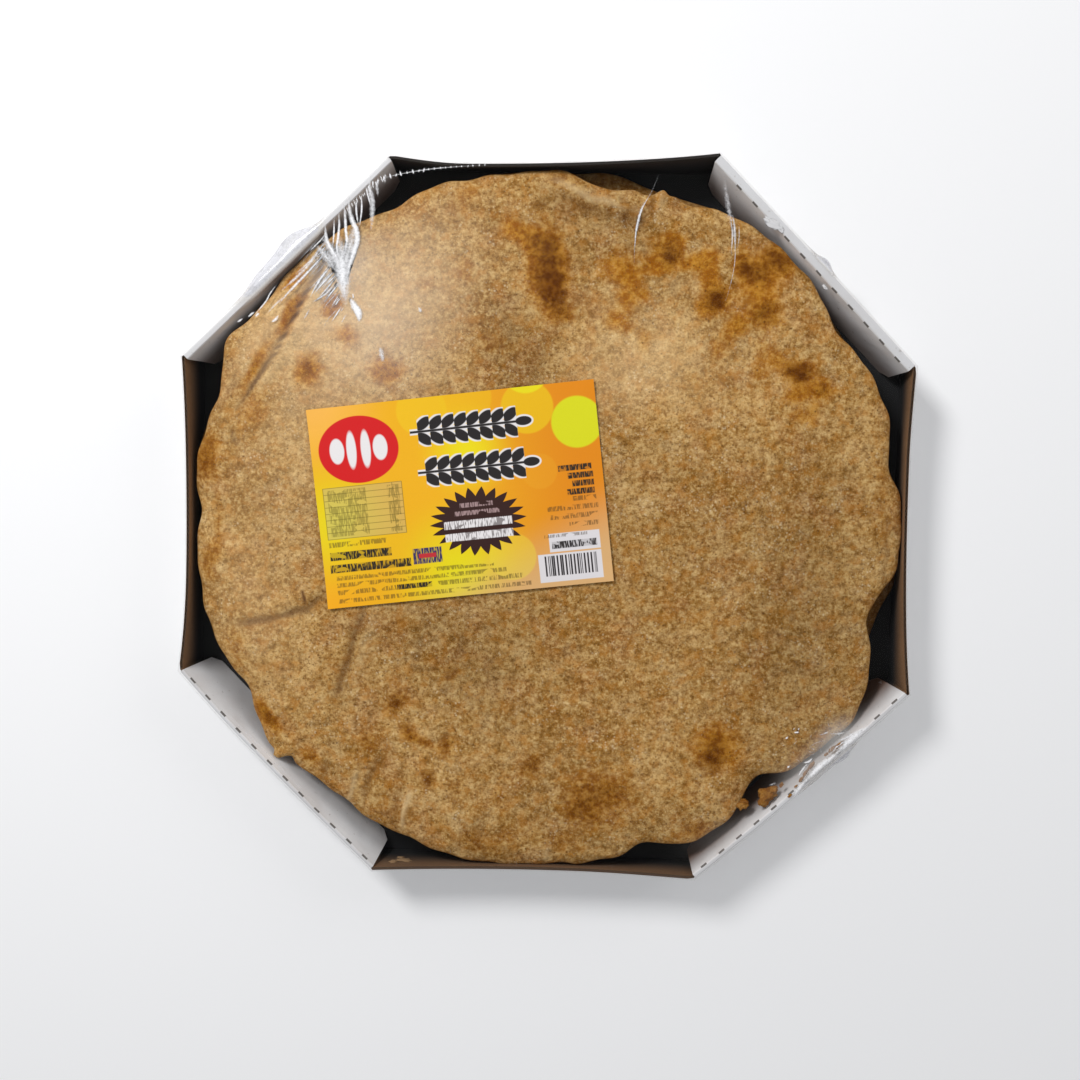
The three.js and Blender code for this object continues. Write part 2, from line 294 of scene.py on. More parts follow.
class Wire:
    # a value in a shader, which plain arithmetic works on
    def __init__(self, shader, socket):
        self.shader, self.socket = shader, socket

    def does(self, operation, *others, clamp=False):
        inputs = dict(enumerate((self, *others)))
        return self.shader.node("Math", {"operation": operation, "use_clamp": clamp}, inputs)

    def __add__(self, other):
        return self.does("ADD", other)

    def __sub__(self, other):
        return self.does("SUBTRACT", other)

    def __mul__(self, other):
        return self.does("MULTIPLY", other)

    def __truediv__(self, other):
        return self.does("DIVIDE", other)

    def __rsub__(self, other):
        return (self * -1).does("ADD", other)

    def __neg__(self):
        return self * -1

    def __abs__(self):
        return self.does("ABSOLUTE")

    __radd__ = __add__
    __rmul__ = __mul__

    def least(self, other):
        return self.does("MINIMUM", other)

    def most(self, other):
        return self.does("MAXIMUM", other)

    def clamped(self):
        return self.does("ADD", 0.0, clamp=True)

    def ramp(self, low, high):
        # 0 below the first value, 1 above the second, and smooth between
        return self.shader.node(
            "MapRange", {"interpolation_type": "SMOOTHSTEP"}, {0: self, 1: low, 2: high, 3: 0.0, 4: 1.0})


class Shader:
    def __init__(self, name):
        self.material = bpy.data.materials.new(name)
        self.material.use_nodes = True
        self.tree = self.material.node_tree
        self.tree.nodes.clear()
        self.place = self.node("TexCoord", out="Object")

    def node(self, kind, settings=None, sockets=None, out=0):
        made = self.tree.nodes.new("ShaderNode" + kind)
        for key, value in (settings or {}).items():
            setattr(made, key, value)
        for key, value in (sockets or {}).items():
            if isinstance(value, Wire):
                self.tree.links.new(value.socket, made.inputs[key])
            else:
                made.inputs[key].default_value = value
        return Wire(self, made.outputs[out]) if len(made.outputs) else None

    def attribute(self, name):
        return self.node("Attribute", {"attribute_name": name}, out="Fac")

    def grain(self, size, detail=2.0, roughness=0.5, stretch=None, seed=0.0):
        # noise from 0 to 1 with bumps of about that size in millimetres
        where = self.place
        if stretch or seed:
            where = self.node("Mapping", {}, {0: where, 1: (seed, seed * 0.7, 0), 3: stretch or (1, 1, 1)})
        sockets = {"Vector": where, "Scale": 1 / (size * mm), "Detail": detail, "Roughness": roughness}
        return self.node("TexNoise", {}, sockets)

    def blend(self, factor, first, second):
        return self.node("Mix", {"data_type": "RGBA"}, {0: factor, 6: first, 7: second}, out=2)

    def base(self, factor, first, second):
        self.colour = self.blend(factor, linear(*first), linear(*second))

    def over(self, factor, tint):
        # paints a colour over what is there, as much as the factor says
        self.colour = self.blend(factor, self.colour, tint if isinstance(tint, Wire) else linear(*tint))

    def bump(self, height, distance, strength=1.0):
        return self.node("Bump", {}, {"Height": height, "Distance": distance * mm, "Strength": strength})

    def finish(self, **sockets):
        named = {key.replace("_", " "): value for key, value in sockets.items()}
        surface = self.node("BsdfPrincipled", {}, named)
        self.node("OutputMaterial", {}, {"Surface": surface})
        return self.material


def linear(red, green, blue):
    # a colour from its usual 0 to 255 numbers
    def one(value):
        value = value / 255
        return value / 12.92 if value <= 0.04045 else ((value + 0.055) / 1.055) ** 2.4
    return (one(red), one(green), one(blue), 1.0)


print("tray")


def trayShell():
    steps = tray["steps"]
    board, liner, top, floor = tray["board"], tray["liner"], tray["height"], tray["board"] + tray["under"]
    hollow = top - tray["fluteDepth"]
    # each ring: offset from the walls, height, and its height where the board's flutes are open;
    # the faces after it are 0 inside, 1 cut edge or 2 outside
    rings = [
        (-board, floor, floor, 0), (-board, 9, 9, 0), (-board, 17, 17, 0), (-board, 24, 24, 0),
        (-board, top - 0.15, top - 0.15, 1), (-board + 0.1, top, top, 1), (-board + liner, top, top, 1),
        (-board + liner + 0.05, top - 0.1, hollow, 1), (-liner - 0.05, top - 0.1, hollow, 1),
        (-liner, top, top, 1), (-0.1, top, top, 2), (0, top - 0.15, top - 0.15, 2), (0, 20, 20, 2),
        (0, 10, 10, 2), (0, 0.8, 0.8, 2), (-0.3, tray["under"], tray["under"], 2),
    ]
    share = np.arange(steps) / steps
    down, behind = roll["tuck"]
    found = []
    for offset, plain, open_, _ in rings:
        ring = []
        for wall in range(8):
            z = open_ if wall in tray["fluteWalls"] else plain
            if wall % 2:
                z = min(z, top - down)
            inward = behind if wall % 2 and offset > -0.3 and z > 1 else 0
            spots = wallSpots(wall, share, z, offset, np.full(steps, -inward))
            ring.append(np.column_stack([spots, np.full(steps, z)]))
        found.append(np.concatenate(ring))
    skin = skinFrom(floor, found)
    points = skin.close(tray["under"])
    piece = addPiece("trayBoard", points, skin.faces, "board", "tray", smooth=False)
    kinds = np.repeat([0] + [kind for *_, kind in rings], 8 * steps)
    piece.data.polygons.foreach_set("material_index", kinds)
    return piece


def barFaces(first, stations, count, skip=()):
    # faces of a bar whose sections have that many points, with flat ends; the points count from the first
    faces = []
    for i in range(stations - 1):
        for j in range(count):
            if (i, j) not in skip:
                k = (j + 1) % count
                a = first + i * count
                faces.append((a + j, a + k, a + count + k, a + count + j))
    last = first + (stations - 1) * count
    faces.append(tuple(range(first, first + count))[::-1])
    faces.append(tuple(range(last, last + count)))
    return faces


def fluteStrip():
    # the wavy middle layer of the board, seen in the open edge of the side walls
    points, faces = [], []
    thick, end = tray["fluteThick"] / 2, 2.2
    low, high = tray["height"] - tray["fluteDepth"] - 0.2, tray["height"] - 0.1
    for wall in tray["fluteWalls"]:
        stations = int(wallLength[wall] / tray["flutePitch"] * 12)
        first = len(points)
        for i in range(stations + 1):
            run = end + (wallLength[wall] - 2 * end) * i / stations
            wave = math.sin(run / tray["flutePitch"] * 2 * math.pi)
            deep = tray["board"] / 2 + wave * (tray["board"] / 2 - tray["liner"] - thick)
            for side, z in ((-1, low), (1, low), (1, high), (-1, high)):
                x, y = wallSpots(wall, run / wallLength[wall], z, 0, side * thick - deep)
                points.append((x, y, z))
        faces += barFaces(first, stations + 1, 4)
    return addPiece("boardFlutes", points, faces, "board", "tray")


def rollEnd(z):
    heights, insets = zip(*roll["ends"][::-1])
    return float(np.interp(z, heights, insets))


def rollSection(crease):
    # the board's white face: up the wall, round the bend, along the top and down the leaning flap,
    # then back along its hidden face
    top, bend, thick = tray["height"], roll["bend"], roll["board"]
    face = [(0.0, 3.0), (0.0, 16.0), (0.0, top - bend)]
    for turn in (25, 50, 75, 90):
        at = math.radians(turn)
        face.append((bend * (1 - math.cos(at)), top - bend + bend * math.sin(at)))
    half = roll["slitWide"] / 2
    face += [(crease - half - 0.3, top + 0.03), (crease - half - 0.12, top), (crease - half, top - 0.06)]
    slit = len(face) - 1
    face += [(crease + half * 0.55, top - 0.5), (crease + half * 0.9, top - 1.1)]
    for z in (26.5, 22.5, 18, 13.5, 9.5, 6.5, 3.5, 2.1):
        face.append((crease + (roll["foot"] - crease) * (top - z) / top + 0.1, z))
    back = []
    for deep, z in face[::-1]:
        if z > top - 0.9:
            back.append((min(max(deep, thick), max(crease - thick, thick)), top - thick))
        elif deep < 1:
            back.append((thick, min(z, top - thick - 0.6)))
        else:
            back.append((deep - thick, min(z, top - thick - 0.2)))
    return face, back, slit


def rollStops(wall):
    # stations along a rolled diagonal, and the numbers of those with a slit after them
    length = wallLength[wall]
    cuts = np.arange(roll["slitStart"] - wall * 0.15, length - roll["slitEnd"], roll["slitEvery"])
    if wall not in roll["slitWalls"]:
        cuts = cuts[:0]
    ends = cuts + roll["slitLong"]
    stops = np.unique(np.round(np.r_[np.linspace(0, length, roll["steps"] + 1), cuts, ends], 3))
    stops = stops[np.r_[True, np.diff(stops) > 0.25]]
    spans = [[int(np.abs(stops - edge).argmin()) for edge in pair] for pair in zip(cuts, ends)]
    return stops, sorted({i for first, last in spans for i in range(first, last)})


def footShadeAt(wall, share, z, dent):
    # how much painted shade a flap's face gets
    much, low, high = roll["footShade"][wall]
    much *= 1 - step(low, high, z + 9 * dent)
    shadedFlap, middle, wide, strength = roll["middleShade"]
    if wall == shadedFlap:
        much = max(much, strength * math.exp(-((share - middle) / wide) ** 2) + dent)
    return much


def trayRolls():
    points, faces, kinds, marks, footShade = [], [], [], [], []
    for wall, crease in roll["tops"].items():
        face, back, slit = rollSection(crease)
        section = face + back
        count = len(section)
        length = wallLength[wall]
        stops, cuts = rollStops(wall)
        first = len(points)
        for stop in stops:
            for number, (deep, z) in enumerate(section):
                inset = rollEnd(z) if 3 <= number < count - 3 else 0.8
                run = inset + (length - 2 * inset) * stop / length
                dent = 0
                if number < len(face):
                    dent = 0.22 * noise.noise(Vector((run / 19, z / 13 + wall * 9, deep / 4)))
                    dent += 0.1 * noise.noise(Vector((run / 5, z / 4 + wall * 5, deep)))
                x, y = wallSpots(wall, run / length, z, 0, dent * (1 if deep > 2 else 0.4) - deep)
                points.append((x, y, z + (dent * 0.5 if 2 < deep < 4 else 0)))
                marks.append(1 if 3 <= number <= slit else 0)
                footShade.append(footShadeAt(wall, run / length, z, dent) * (number >= slit))
        made = barFaces(first, len(stops), count, {(i, slit) for i in cuts})
        faces += made
        kinds += [0] * len(made)
        # each slit is a short pit through the face
        for i in cuts:
            a = first + i * count + slit
            rim = [a, a + 1, a + 1 + count, a + count]
            floor = [len(points) + k for k in range(4)]
            for k in rim:
                x, y, z = points[k]
                inward = wallOut[wall] * 0.35
                points.append((x - inward[0], y - inward[1], z - roll["slitDeep"]))
                marks.append(marks[k])
                footShade.append(0)
            sides = zip(rim, rim[1:] + rim[:1], floor[1:] + floor[:1], floor)
            faces += [tuple(floor), *sides]
            kinds += [1] * 5
    piece = addPiece("trayRolls", points, faces, "board", "tray", smooth=False)
    piece.data.polygons.foreach_set("material_index", kinds)
    paint(piece, "onTop", marks)
    paint(piece, "footShade", footShade)
    return piece


def brownMaterial(name, light, dark, shade):
    # the last colour is painted shade, laid on low down and on the far and near walls
    s = Shader(name)
    height = s.node("SeparateXYZ", {}, {0: s.place}, out="Z") * (1 / mm)
    fibre = s.grain(1.4, 4, 0.65, stretch=(1, 1, 0.25))
    patch = s.grain(16, 2, 0.5)
    s.base((fibre * 0.7 + patch * 0.5 - 0.1).clamped(), light, dark)
    # painted shade: darker towards the floor
    s.over(1 - height.ramp(8, 28.5), shade)
    # painted shade: the far wall the darkest, and then the near one
    north = s.node("SeparateXYZ", {}, {0: s.place}, out="Y") * (1 / mm)
    far, near = north.ramp(165, 180) * 0.93, (-north).ramp(165, 180) * 0.35
    s.over(far.most(near), shade)
    fine = s.grain(0.5, 2, 0.6)
    normal = s.bump(fibre * 0.6 + fine * 0.4, 0.12, 0.5)
    return s.finish(Base_Color=s.colour, Roughness=0.82, Normal=normal)


def coatedMaterial():
    s = Shader("coatedBoard")
    patch = s.grain(26, 3, 0.5)
    fine = s.grain(1.1, 3, 0.6)
    speck = s.grain(2.2, 2, 0.5, seed=3.0).ramp(0.7, 0.74)
    s.base(patch.ramp(0.35, 0.7), (240, 240, 241), (226, 223, 222))
    s.over(fine * 0.25, (200, 195, 192))
    s.over(s.attribute("onTop") * 0.5, (176, 176, 178))
    # painted shade, warm brown, on the flaps towards their foot
    s.over(s.attribute("footShade"), (100, 72, 56))
    s.over(speck * 0.35, (120, 100, 80))
    return s.finish(Base_Color=s.colour, Roughness=0.48, Normal=s.bump(fine * 0.5 + patch, 0.1, 0.4))


def slitMaterial():
    s = Shader("slitEdgeAndShade")
    # the board's grey cut edge, painted darker for the shade inside the slit
    s.base(s.grain(0.8), (84, 82, 82), (122, 116, 110))
    return s.finish(Base_Color=s.colour, Roughness=0.9)


brownInside = brownMaterial("brownInside", (150, 112, 76), (112, 80, 52), (10, 12, 15))
brownEdge = brownMaterial("brownEdge", (104, 78, 54), (70, 50, 34), (12, 10, 8))
coated = coatedMaterial()
slits = slitMaterial()

boardPiece = trayShell()
dress(boardPiece, brownInside, brownEdge, coated)
flutePiece = fluteStrip()
dress(flutePiece, brownEdge)
rollPiece = trayRolls()
dress(rollPiece, coated, slits)

print("breads")

# Toasted spots on the upper bread, and one painted fold shadow among them: middle, half sizes, turn in
# degrees, how brown, how golden
toast = [
    # the large spot at the top
    (-1, 129, 11, 22, 8, 0.6, 0.95), (2.5, 118, 7, 13, 10, 0.8, 0.3), (-1, 138, 7, 8, 0, 0.35, 0.5),
    (-10.5, 142.5, 8.5, 6.5, -20, 0.3, 0.9), (-20, 147.5, 7.5, 4, -20, 0.12, 0.85),
    (5, 107, 7, 6, 0, 0.25, 0.7),
    (13.4, 131, 6, 10, 10, 0.26, 0.05), (-6, 159.5, 8, 5, 10, 0.34, 0.15), (21, 157.5, 9, 6, 0, 0.3, 0.2),
    # the first spot in the next row is painted shade, the shadow of the fold at the top
    (37.5, 155.6, 9, 4, 35, 0.34, 0.15), (2.8, 174, 14, 6, 0, 0.3, 0.4), (-45, 164, 9, 8, 0, 0.2, 0.35),
    # the chain of spots at the upper right
    (35, 130.5, 11, 9, 0, 0.06, 0.7), (41, 124.5, 7, 6, 0, 0.14, 0.7), (41.5, 113, 6, 7, 0, 0.1, 0.7),
    (39, 100.5, 8, 5.5, 0, 0.02, 0.55), (33, 104, 6, 4, 0, 0, 0.4), (60.5, 135.5, 9, 9, 30, 0.5, 0.9),
    (61, 134.5, 5, 5.5, 0, 0.35, 0.2), (54, 131, 7, 6, 0, 0.08, 0.8), (62.8, 143, 5, 5, 0, 0.1, 0.8),
    (76, 132, 10, 6, 10, 0.14, 0.9), (83.5, 114, 9.5, 8, -15, 0.68, 0.95), (84, 114.5, 6, 4.5, 0, 0.45, 0.2),
    (78.7, 109, 5, 5, 0, 0.2, 0.7), (80, 123, 6, 6, 0, 0.12, 0.8), (99, 132, 6, 9, 0, 0.5, 0.85),
    (113, 137, 8, 7, 0, 0.6, 0.9), (105, 128, 10, 8, 0, 0.5, 0.9), (118, 131, 7, 6, 0, 0.45, 0.85),
    (106, 118.5, 12, 7, 0, 0.1, 0.75), (109.5, 106, 9, 8.5, 0, 0.5, 0.85), (114, 111, 6, 5, 0, 0.3, 0.5),
    (96.5, 101, 6.5, 7, 0, 0.28, 0.85), (88, 91.5, 5, 8, 0, 0.1, 0.5), (127.5, 79.5, 9.5, 7.5, 0, 0.75, 0.9),
    (128, 81, 6, 4, 0, 0.5, 0.2), (139, 69.5, 8, 7, 0, 0.45, 0.9), (126, 69, 7, 5.5, 0, 0.2, 0.8),
    (133, 57, 7, 6.5, 0, 0.1, 0.7), (125, 58, 4.5, 5, 0, 0.24, 0.4), (111.5, 87, 7, 9, 0, 0.08, 0.5),
    (108, 77, 5, 5, 0, 0.08, 0.5), (118, 86, 6, 5, 0, 0.08, 0.4), (76, 74.5, 8, 5, 0, 0, 0.3),
    (49.5, 93.5, 4.5, 5, 0, 0.02, 0.5), (48.2, 115, 3, 4, 0, 0.1, 0.6), (58, 60, 8, 6, 0, 0, 0.2),
    # the upper left and the left edge
    (-41, 127, 6, 8, 20, 0.25, 0.45), (-27, 88, 8, 6, -30, 0.3, 0.45), (-36, 74, 7, 5, 0, 0.2, 0.3),
    (-82, 75, 10, 8, 0, 0.3, 0.9), (-123, 74, 7, 9, -10, 0.28, 0.8), (-111, 109, 6, 8, -30, 0.35, 1.0),
    (-131, 122, 4, 9, -38, 0.35, 1.0), (-132, 103, 3.6, 14, -30, 0.38, 1.0),
    (-150, 76, 3.4, 14, -28, 0.4, 0.75),
    (-100, 92, 6, 5, 0, 0.12, 0.6),
    (-175, 29, 8, 14, 0, 0.5, 0.7), (-174, -24, 6, 12, 0, 0.35, 0.55), (-169, -4, 2.5, 20, 0, 0.2, 0.4),
    (-152, 52, 7, 16, -30, 0.15, 0.4), (-160, -68, 6, 14, 10, 0.2, 0.35),
    (-104, 90, 9, 6, 0, 0.1, 0.35), (-63, 120, 6, 5, 0, 0.05, 0.3),
    # the lower half
    (-143, -107, 4, 12, 28, 0.5, 0.9), (-75, -96, 5, 9, -20, 0.6, 0.6), (-67, -111, 6, 5, 0, 0.5, 0.6),
    (-61, -116, 8, 4, -10, 0.45, 0.75), (-90, -118, 6, 6, 0, 0.4, 0.5), (-95, -131, 5, 4, 0, 0.2, 0.3),
    (-48, -80, 5, 4, 0, 0.35, 0.5), (-47, -118, 5, 8, -12, 0.45, 0.6), (-56, -137, 6, 7, -20, 0.55, 0.5),
    (-41, -142, 7, 9, 0, 0.25, 0.3), (-3, -128, 7, 9, 35, 0.52, 0.5), (-18, -146, 6, 8, 0, 0.15, 0.35),
    (-78, -156, 12, 8, -20, 0.25, 0.3), (-9, -163, 16, 8, 20, 0.2, 0.3), (-119, -128, 6, 5, 0, 0.3, 0.55),
    (34, -142, 20, 16, 0, 0.46, 0.6), (22, -152, 14, 12, 0, 0.3, 0.35), (90, -122, 9, 9, 0, 0.75, 0.65),
    (93, -113, 13, 11, 0, 0.45, 0.9), (105, -88, 8, 5, 0, 0.05, 0.35), (14, -169, 12, 5, 0, 0.3, 0.35),
    (82, -160, 12, 7, 20, 0.4, 0.5), (83, -139, 7, 6, 0, 0.2, 0.3), (-30, -168, 18, 6, -8, 0.35, 0.3),
    (172, 20, 5, 22, 0, 0.2, 0.3),
]

# Broad places painted paler, or darker if less than nothing: painted light and shade over the swells, the
# film's glare painted paler at the upper left, and some of the crust's own tone; middle, half sizes, turn,
# how much
tones = [
    (-90, 104, 52, 36, 40, 0.6), (-148, 92, 10, 26, -32, 0.3), (-118, 96, 8, 18, -30, 0.15),
    (-128, 40, 34, 60, -10, 0.2), (-150, -50, 24, 44, 10, 0.2), (50, 84, 34, 26, -10, 0.38),
    (28, 62, 40, 20, 0, 0.12), (-20, 96, 16, 30, 15, -0.22), (-6, 74, 14, 20, 0, -0.12),
    (-60, -58, 50, 26, 0, -0.14), (-32, -82, 22, 16, 0, -0.16), (-14, -76, 30, 40, 0, -0.08),
    (38, 140, 30, 10, 0, -0.15), (12, 160, 26, 7, -12, -0.25), (40, 154, 9, 9, 0, -0.22),
    (-2, 150, 36, 12, 0, -0.1), (140, -10, 30, 54, 0, -0.16), (56, 44, 24, 24, 0, -0.12),
    (132, -70, 34, 44, 0, -0.22), (20, -164, 60, 18, 0, -0.1), (60, -10, 50, 40, 0, -0.06),
]

# Creases and folds: the line, how wide, how high (down if less than nothing), and how dark, as painted shade
# in the crease, or a painted highlight along a ridge if less than nothing
creases = [
    ([(-114, 133), (-122, 118), (-142, 80), (-160, 54)], 1.1, -1.2, 1.9),
    ([(-107, 136), (-117, 119), (-135, 84), (-150, 62)], 3.2, 1.0, -0.3),
    ([(-118, 136), (-128, 119), (-148, 80)], 2.6, 0.8, -0.2),
    ([(-124, 122), (-136, 104), (-150, 82)], 2.2, -0.6, 0.5),
    ([(-163, -54), (-140, -49), (-123, -43), (-115, -35)], 3.4, 1.1, 0.0),
    ([(-163, -59), (-140, -54), (-122, -49), (-112, -40)], 2.0, -0.9, 0.9),
    ([(-125, -39), (-124, -43), (-123.5, -47)], 0.7, -0.9, 1.6),
    ([(-90, -44), (-98, -64), (-102, -82), (-108, -98)], 2.4, -0.8, 0.85),
    ([(-84, -46), (-91, -64), (-96, -82)], 3.4, 0.6, -0.3),
    ([(-67, -142), (-69, -152), (-70.5, -164)], 1.5, 0.8, -0.9),
    ([(-72, -141), (-74, -154), (-76, -164)], 3.0, -0.5, 0.35),
    ([(-94, -131), (-98, -145), (-101, -152)], 1.6, 0.7, -0.7),
    ([(-110, -126), (-113, -140)], 2.0, -0.6, 0.6),
    ([(-82, -122), (-88, -138), (-92, -150)], 2.2, -0.6, 0.6),
    ([(48, 154), (55, 162), (57, 169)], 2.2, 1.3, -0.4),
    ([(44, 150), (50, 158), (53, 166)], 2.2, -0.8, 0.8),
    ([(61, 160), (64, 165), (67, 167)], 1.8, -0.7, 0.6),
    ([(34, 166), (39, 159), (47, 151)], 2.2, -0.6, 0.6),
    ([(-2, 175), (20, 164), (34, 161), (48, 155)], 2.4, 1.0, -0.8),
    ([(-4, 170), (16, 160), (30, 156), (44, 149)], 3.2, -0.5, 0.45),
    ([(72, 156), (96, 151), (112, 142)], 3.0, 0.5, 0.0),
    ([(70, 151), (96, 146), (112, 137)], 2.4, -0.35, 0.3),
    ([(-162.5, 44), (-161, 39), (-158, 35)], 1.2, -0.9, 1.0),
    ([(-165, 43), (-163, 37)], 1.6, 0.8, -0.4),
    ([(173, -62), (176, -30), (175.5, 0), (172, 20)], 1.3, -0.5, 0.45),
    ([(-172, 44), (-166, 60), (-158, 74)], 2.0, -0.4, 0.35),
    ([(5, -170), (6, -178)], 1.5, 0.9, -0.4),
    ([(-44, -50), (-50, -70), (-56, -92)], 3.0, 0.35, 0.0),
    ([(-38, -56), (-45, -78), (-50, -98)], 2.0, -0.3, 0.3),
    ([(-60, -60), (-66, -80)], 2.2, -0.25, 0.25),
    ([(26, 122), (10, 108), (-2, 88), (-8, 70)], 5.0, -0.5, 0.25),
    ([(-60, 175), (-50, 160), (-46, 148)], 3.0, -0.35, 0.25),
    ([(60, -60), (68, -90), (66, -116)], 6.0, 0.35, 0.0),
    ([(-135, 20), (-150, 8), (-165, -6)], 2.6, -0.3, 0.2),
    ([(-128, 62), (-120, 88), (-108, 104)], 1.6, -0.35, 0.35),
]


def breadReach(angle, tears=False):
    degrees = np.degrees(angle)
    reach = np.full(np.shape(angle), float(bread["radius"]))
    for at, deep, wide in bread["edge"] + (bread["tears"] if tears else []):
        away = (degrees - at + 180) % 360 - 180
        reach = reach - deep * np.exp(-(away / wide) ** 2)
    return reach


def swell(x, y):
    height = 0
    for wave, turn, start, share in bread["swells"]:
        run = x * math.cos(math.radians(turn)) + y * math.sin(math.radians(turn))
        height = height + share * np.sin(run / wave * 2 * math.pi + start)
    return height * bread["swellHeight"]


def crown(share):
    return bread["crown"] - bread["drop"] * (share / bread["shoulder"]) ** 3


def lineAway(x, y, line):
    # how far each point is from a bent line, and how far along it the nearest spot is, from 0 to 1
    away = np.full(x.shape, 1e9)
    along = np.zeros(x.shape)
    pieces = list(zip(line, line[1:]))
    for number, ((ax, ay), (bx, by)) in enumerate(pieces):
        long2 = (bx - ax) ** 2 + (by - ay) ** 2
        share = np.clip(((x - ax) * (bx - ax) + (y - ay) * (by - ay)) / long2, 0, 1)
        here = np.hypot(x - ax - share * (bx - ax), y - ay - share * (by - ay))
        nearer = here < away
        away = np.where(nearer, here, away)
        along = np.where(nearer, (number + share) / len(pieces), along)
    return away, along


def breadRelief(x, y):
    # low bumps, creases and folds, and the painted shade of the creases
    flat = flatPoints(x, y)
    relief = 0.35 * rough(flat, 34, 1) + 0.28 * rough(flat, 11, 2)
    line = np.zeros_like(x)
    wander = 1.6 * rough(flat, 9, 5)
    for path, wide, high, dark in creases:
        away, along = lineAway(x + wander, y + wander * 0.6, path)
        ends = step(0, 0.18, along) * step(0, 0.18, 1 - along)
        mark = np.exp(-(away / wide) ** 2) * (0.25 + 0.75 * ends)
        relief = relief + 0.75 * high * mark
        line = line + dark * mark
    # near the label no bump stands so high that it would lift it
    most = 0.75 + step(110, 150, np.hypot(x, y))
    return np.where(relief > 0, most * np.tanh(relief / most), relief), line


def upperBread():
    cells = 272
    share, angle, faces, loop = diskGrid(cells)
    # the crown takes most of the net, and the round of the edge the rest
    bend = 0.855
    inner = share < bend
    round_ = np.clip((share - bend) / (1 - bend), 0, 1) * quarter
    shoulder = bread["shoulder"]
    out = np.where(inner, share / bend * shoulder, shoulder + (1 - shoulder) * np.sin(round_))
    edgeDrop = crown(shoulder) - bread["edgeHeight"]
    z = np.where(inner, crown(out), bread["edgeHeight"] + edgeDrop * np.cos(round_))
    reach = np.minimum(breadReach(angle, True), wallReach(angle, z, *bread["upperRoom"]))
    ripple = 0.7 * np.sin(angle * 23 + 1) * np.sin(angle * 7) + 0.4 * np.sin(angle * 57 + 2)
    reach = reach + ripple * step(0.93, 1, share)
    x, y = polar(angle, out * reach)
    relief, line = breadRelief(x, y)
    flat = flatPoints(x, y)
    relief = relief + 0.16 * rough(flat, 4.6, 3) + 0.1 * rough(flat, 2.4, 4)
    calm = 1 - 0.4 * step(0.9, 1, share)
    z = z + swell(x, y) * (1 - 0.7 * step(bend, 1, share)) + relief * calm
    # toasted spots and the painted fold shadow, with ragged edges
    ragged = rough(flat, 4, 7)
    wx = x + 3.4 * rough(flat, 17, 6) + 1.2 * ragged
    wy = y + 3.4 * rough(flat, 17, 9) + 1.2 * rough(flat, 5, 10)
    plain, pale = np.ones_like(x), np.ones_like(x)
    for cx, cy, wide, long, turn, brown, gold in toast:
        u, v = turnedIn(wx, wy, cx, cy, turn)
        far = np.hypot(u / wide, v / long) + 0.12 * ragged
        plain = plain * (1 - gold * (1 - step(0.2, 1.6, far)))
        pale = pale * (1 - brown * (1 - step(0.0, 1.35, far)))
    # under the edge, back to the middle of the underside
    points = np.stack([x, y, z], axis=1)
    skin, edge = Skin(points, faces.tolist(), loop), points[loop]
    for turn in (0.25, 0.6, 1.0, 1.3, quarter):
        inward = 0.7 + 0.3 * math.cos(turn)
        ring = edge * np.array([inward, inward, 1])
        ring[:, 2] = edge[:, 2] - 7 * math.sin(turn)
        ring[:, 2] += 0.25 * rough(ring, 8, 8)
        skin.ring(ring)
    piece = addPiece("naanUpper", skin.close(ring[:, 2].mean()), skin.faces, "crust", "naan_upper")
    extra = len(piece.data.vertices) - len(x)
    for name, values, below in (
        ("toasted", 1 - pale, 0.15), ("golden", 1 - plain, 0.4), ("creased", line, 0),
        ("rim", step(0.955, 1.0, share), 1), ("tone", patches(wx, wy, tones), 0), ("shaded", 0 * x, 0.5),
    ):
        paint(piece, name, np.r_[values, np.full(extra, below)])
    return piece


def lowerBread():
    # seen only where the upper one leaves it bare
    count = 480
    angle = np.arange(count) / count * 2 * math.pi
    reach = breadReach(angle - math.radians(bread["lowerTurn"])) * bread["lowerSize"]
    out, at, wide = bread["lowerLobe"]
    reach = reach + out * np.exp(-((np.degrees(angle) - at) / wide) ** 2)
    # its section from the top's middle to the underside: share of the way out, and height
    rings = [
        (0.2, 16.6), (0.5, 16.7), (0.7, 16.6), (0.8, 16.4), (0.87, 16.0), (0.92, 15.3), (0.955, 14.4),
        (0.98, 13.2), (0.995, 11.9), (1.0, 10.8), (0.995, 9.4), (0.975, 7.8), (0.94, 6), (0.9, 4),
        (0.85, 2.4), (0.4, 2.2),
    ]
    found = []
    for share, z in rings:
        far = np.minimum(reach * share, wallReach(angle, z, *bread["lowerRoom"]))
        ring = np.stack([*polar(angle, far), np.full(count, z)], axis=1)
        ring[:, 2] += 0.35 * rough(ring, 22, 11) + 0.2 * rough(ring, 7, 12)
        found.append(ring)
    skin = skinFrom(rings[0][1], found)
    points = skin.close(rings[-1][1])
    piece = addPiece("naanLower", points, skin.faces, "crust", "naan_lower")
    paint(piece, "toasted", 0.25 + 0.2 * rough(points, 18, 13))
    paintAll(piece, golden=0.3, creased=0.0, rim=0.5, tone=-0.2)
    paint(piece, "shaded", 0.48 - 0.44 * step(*bread["lowerLight"], points[:, 1]))
    return piece


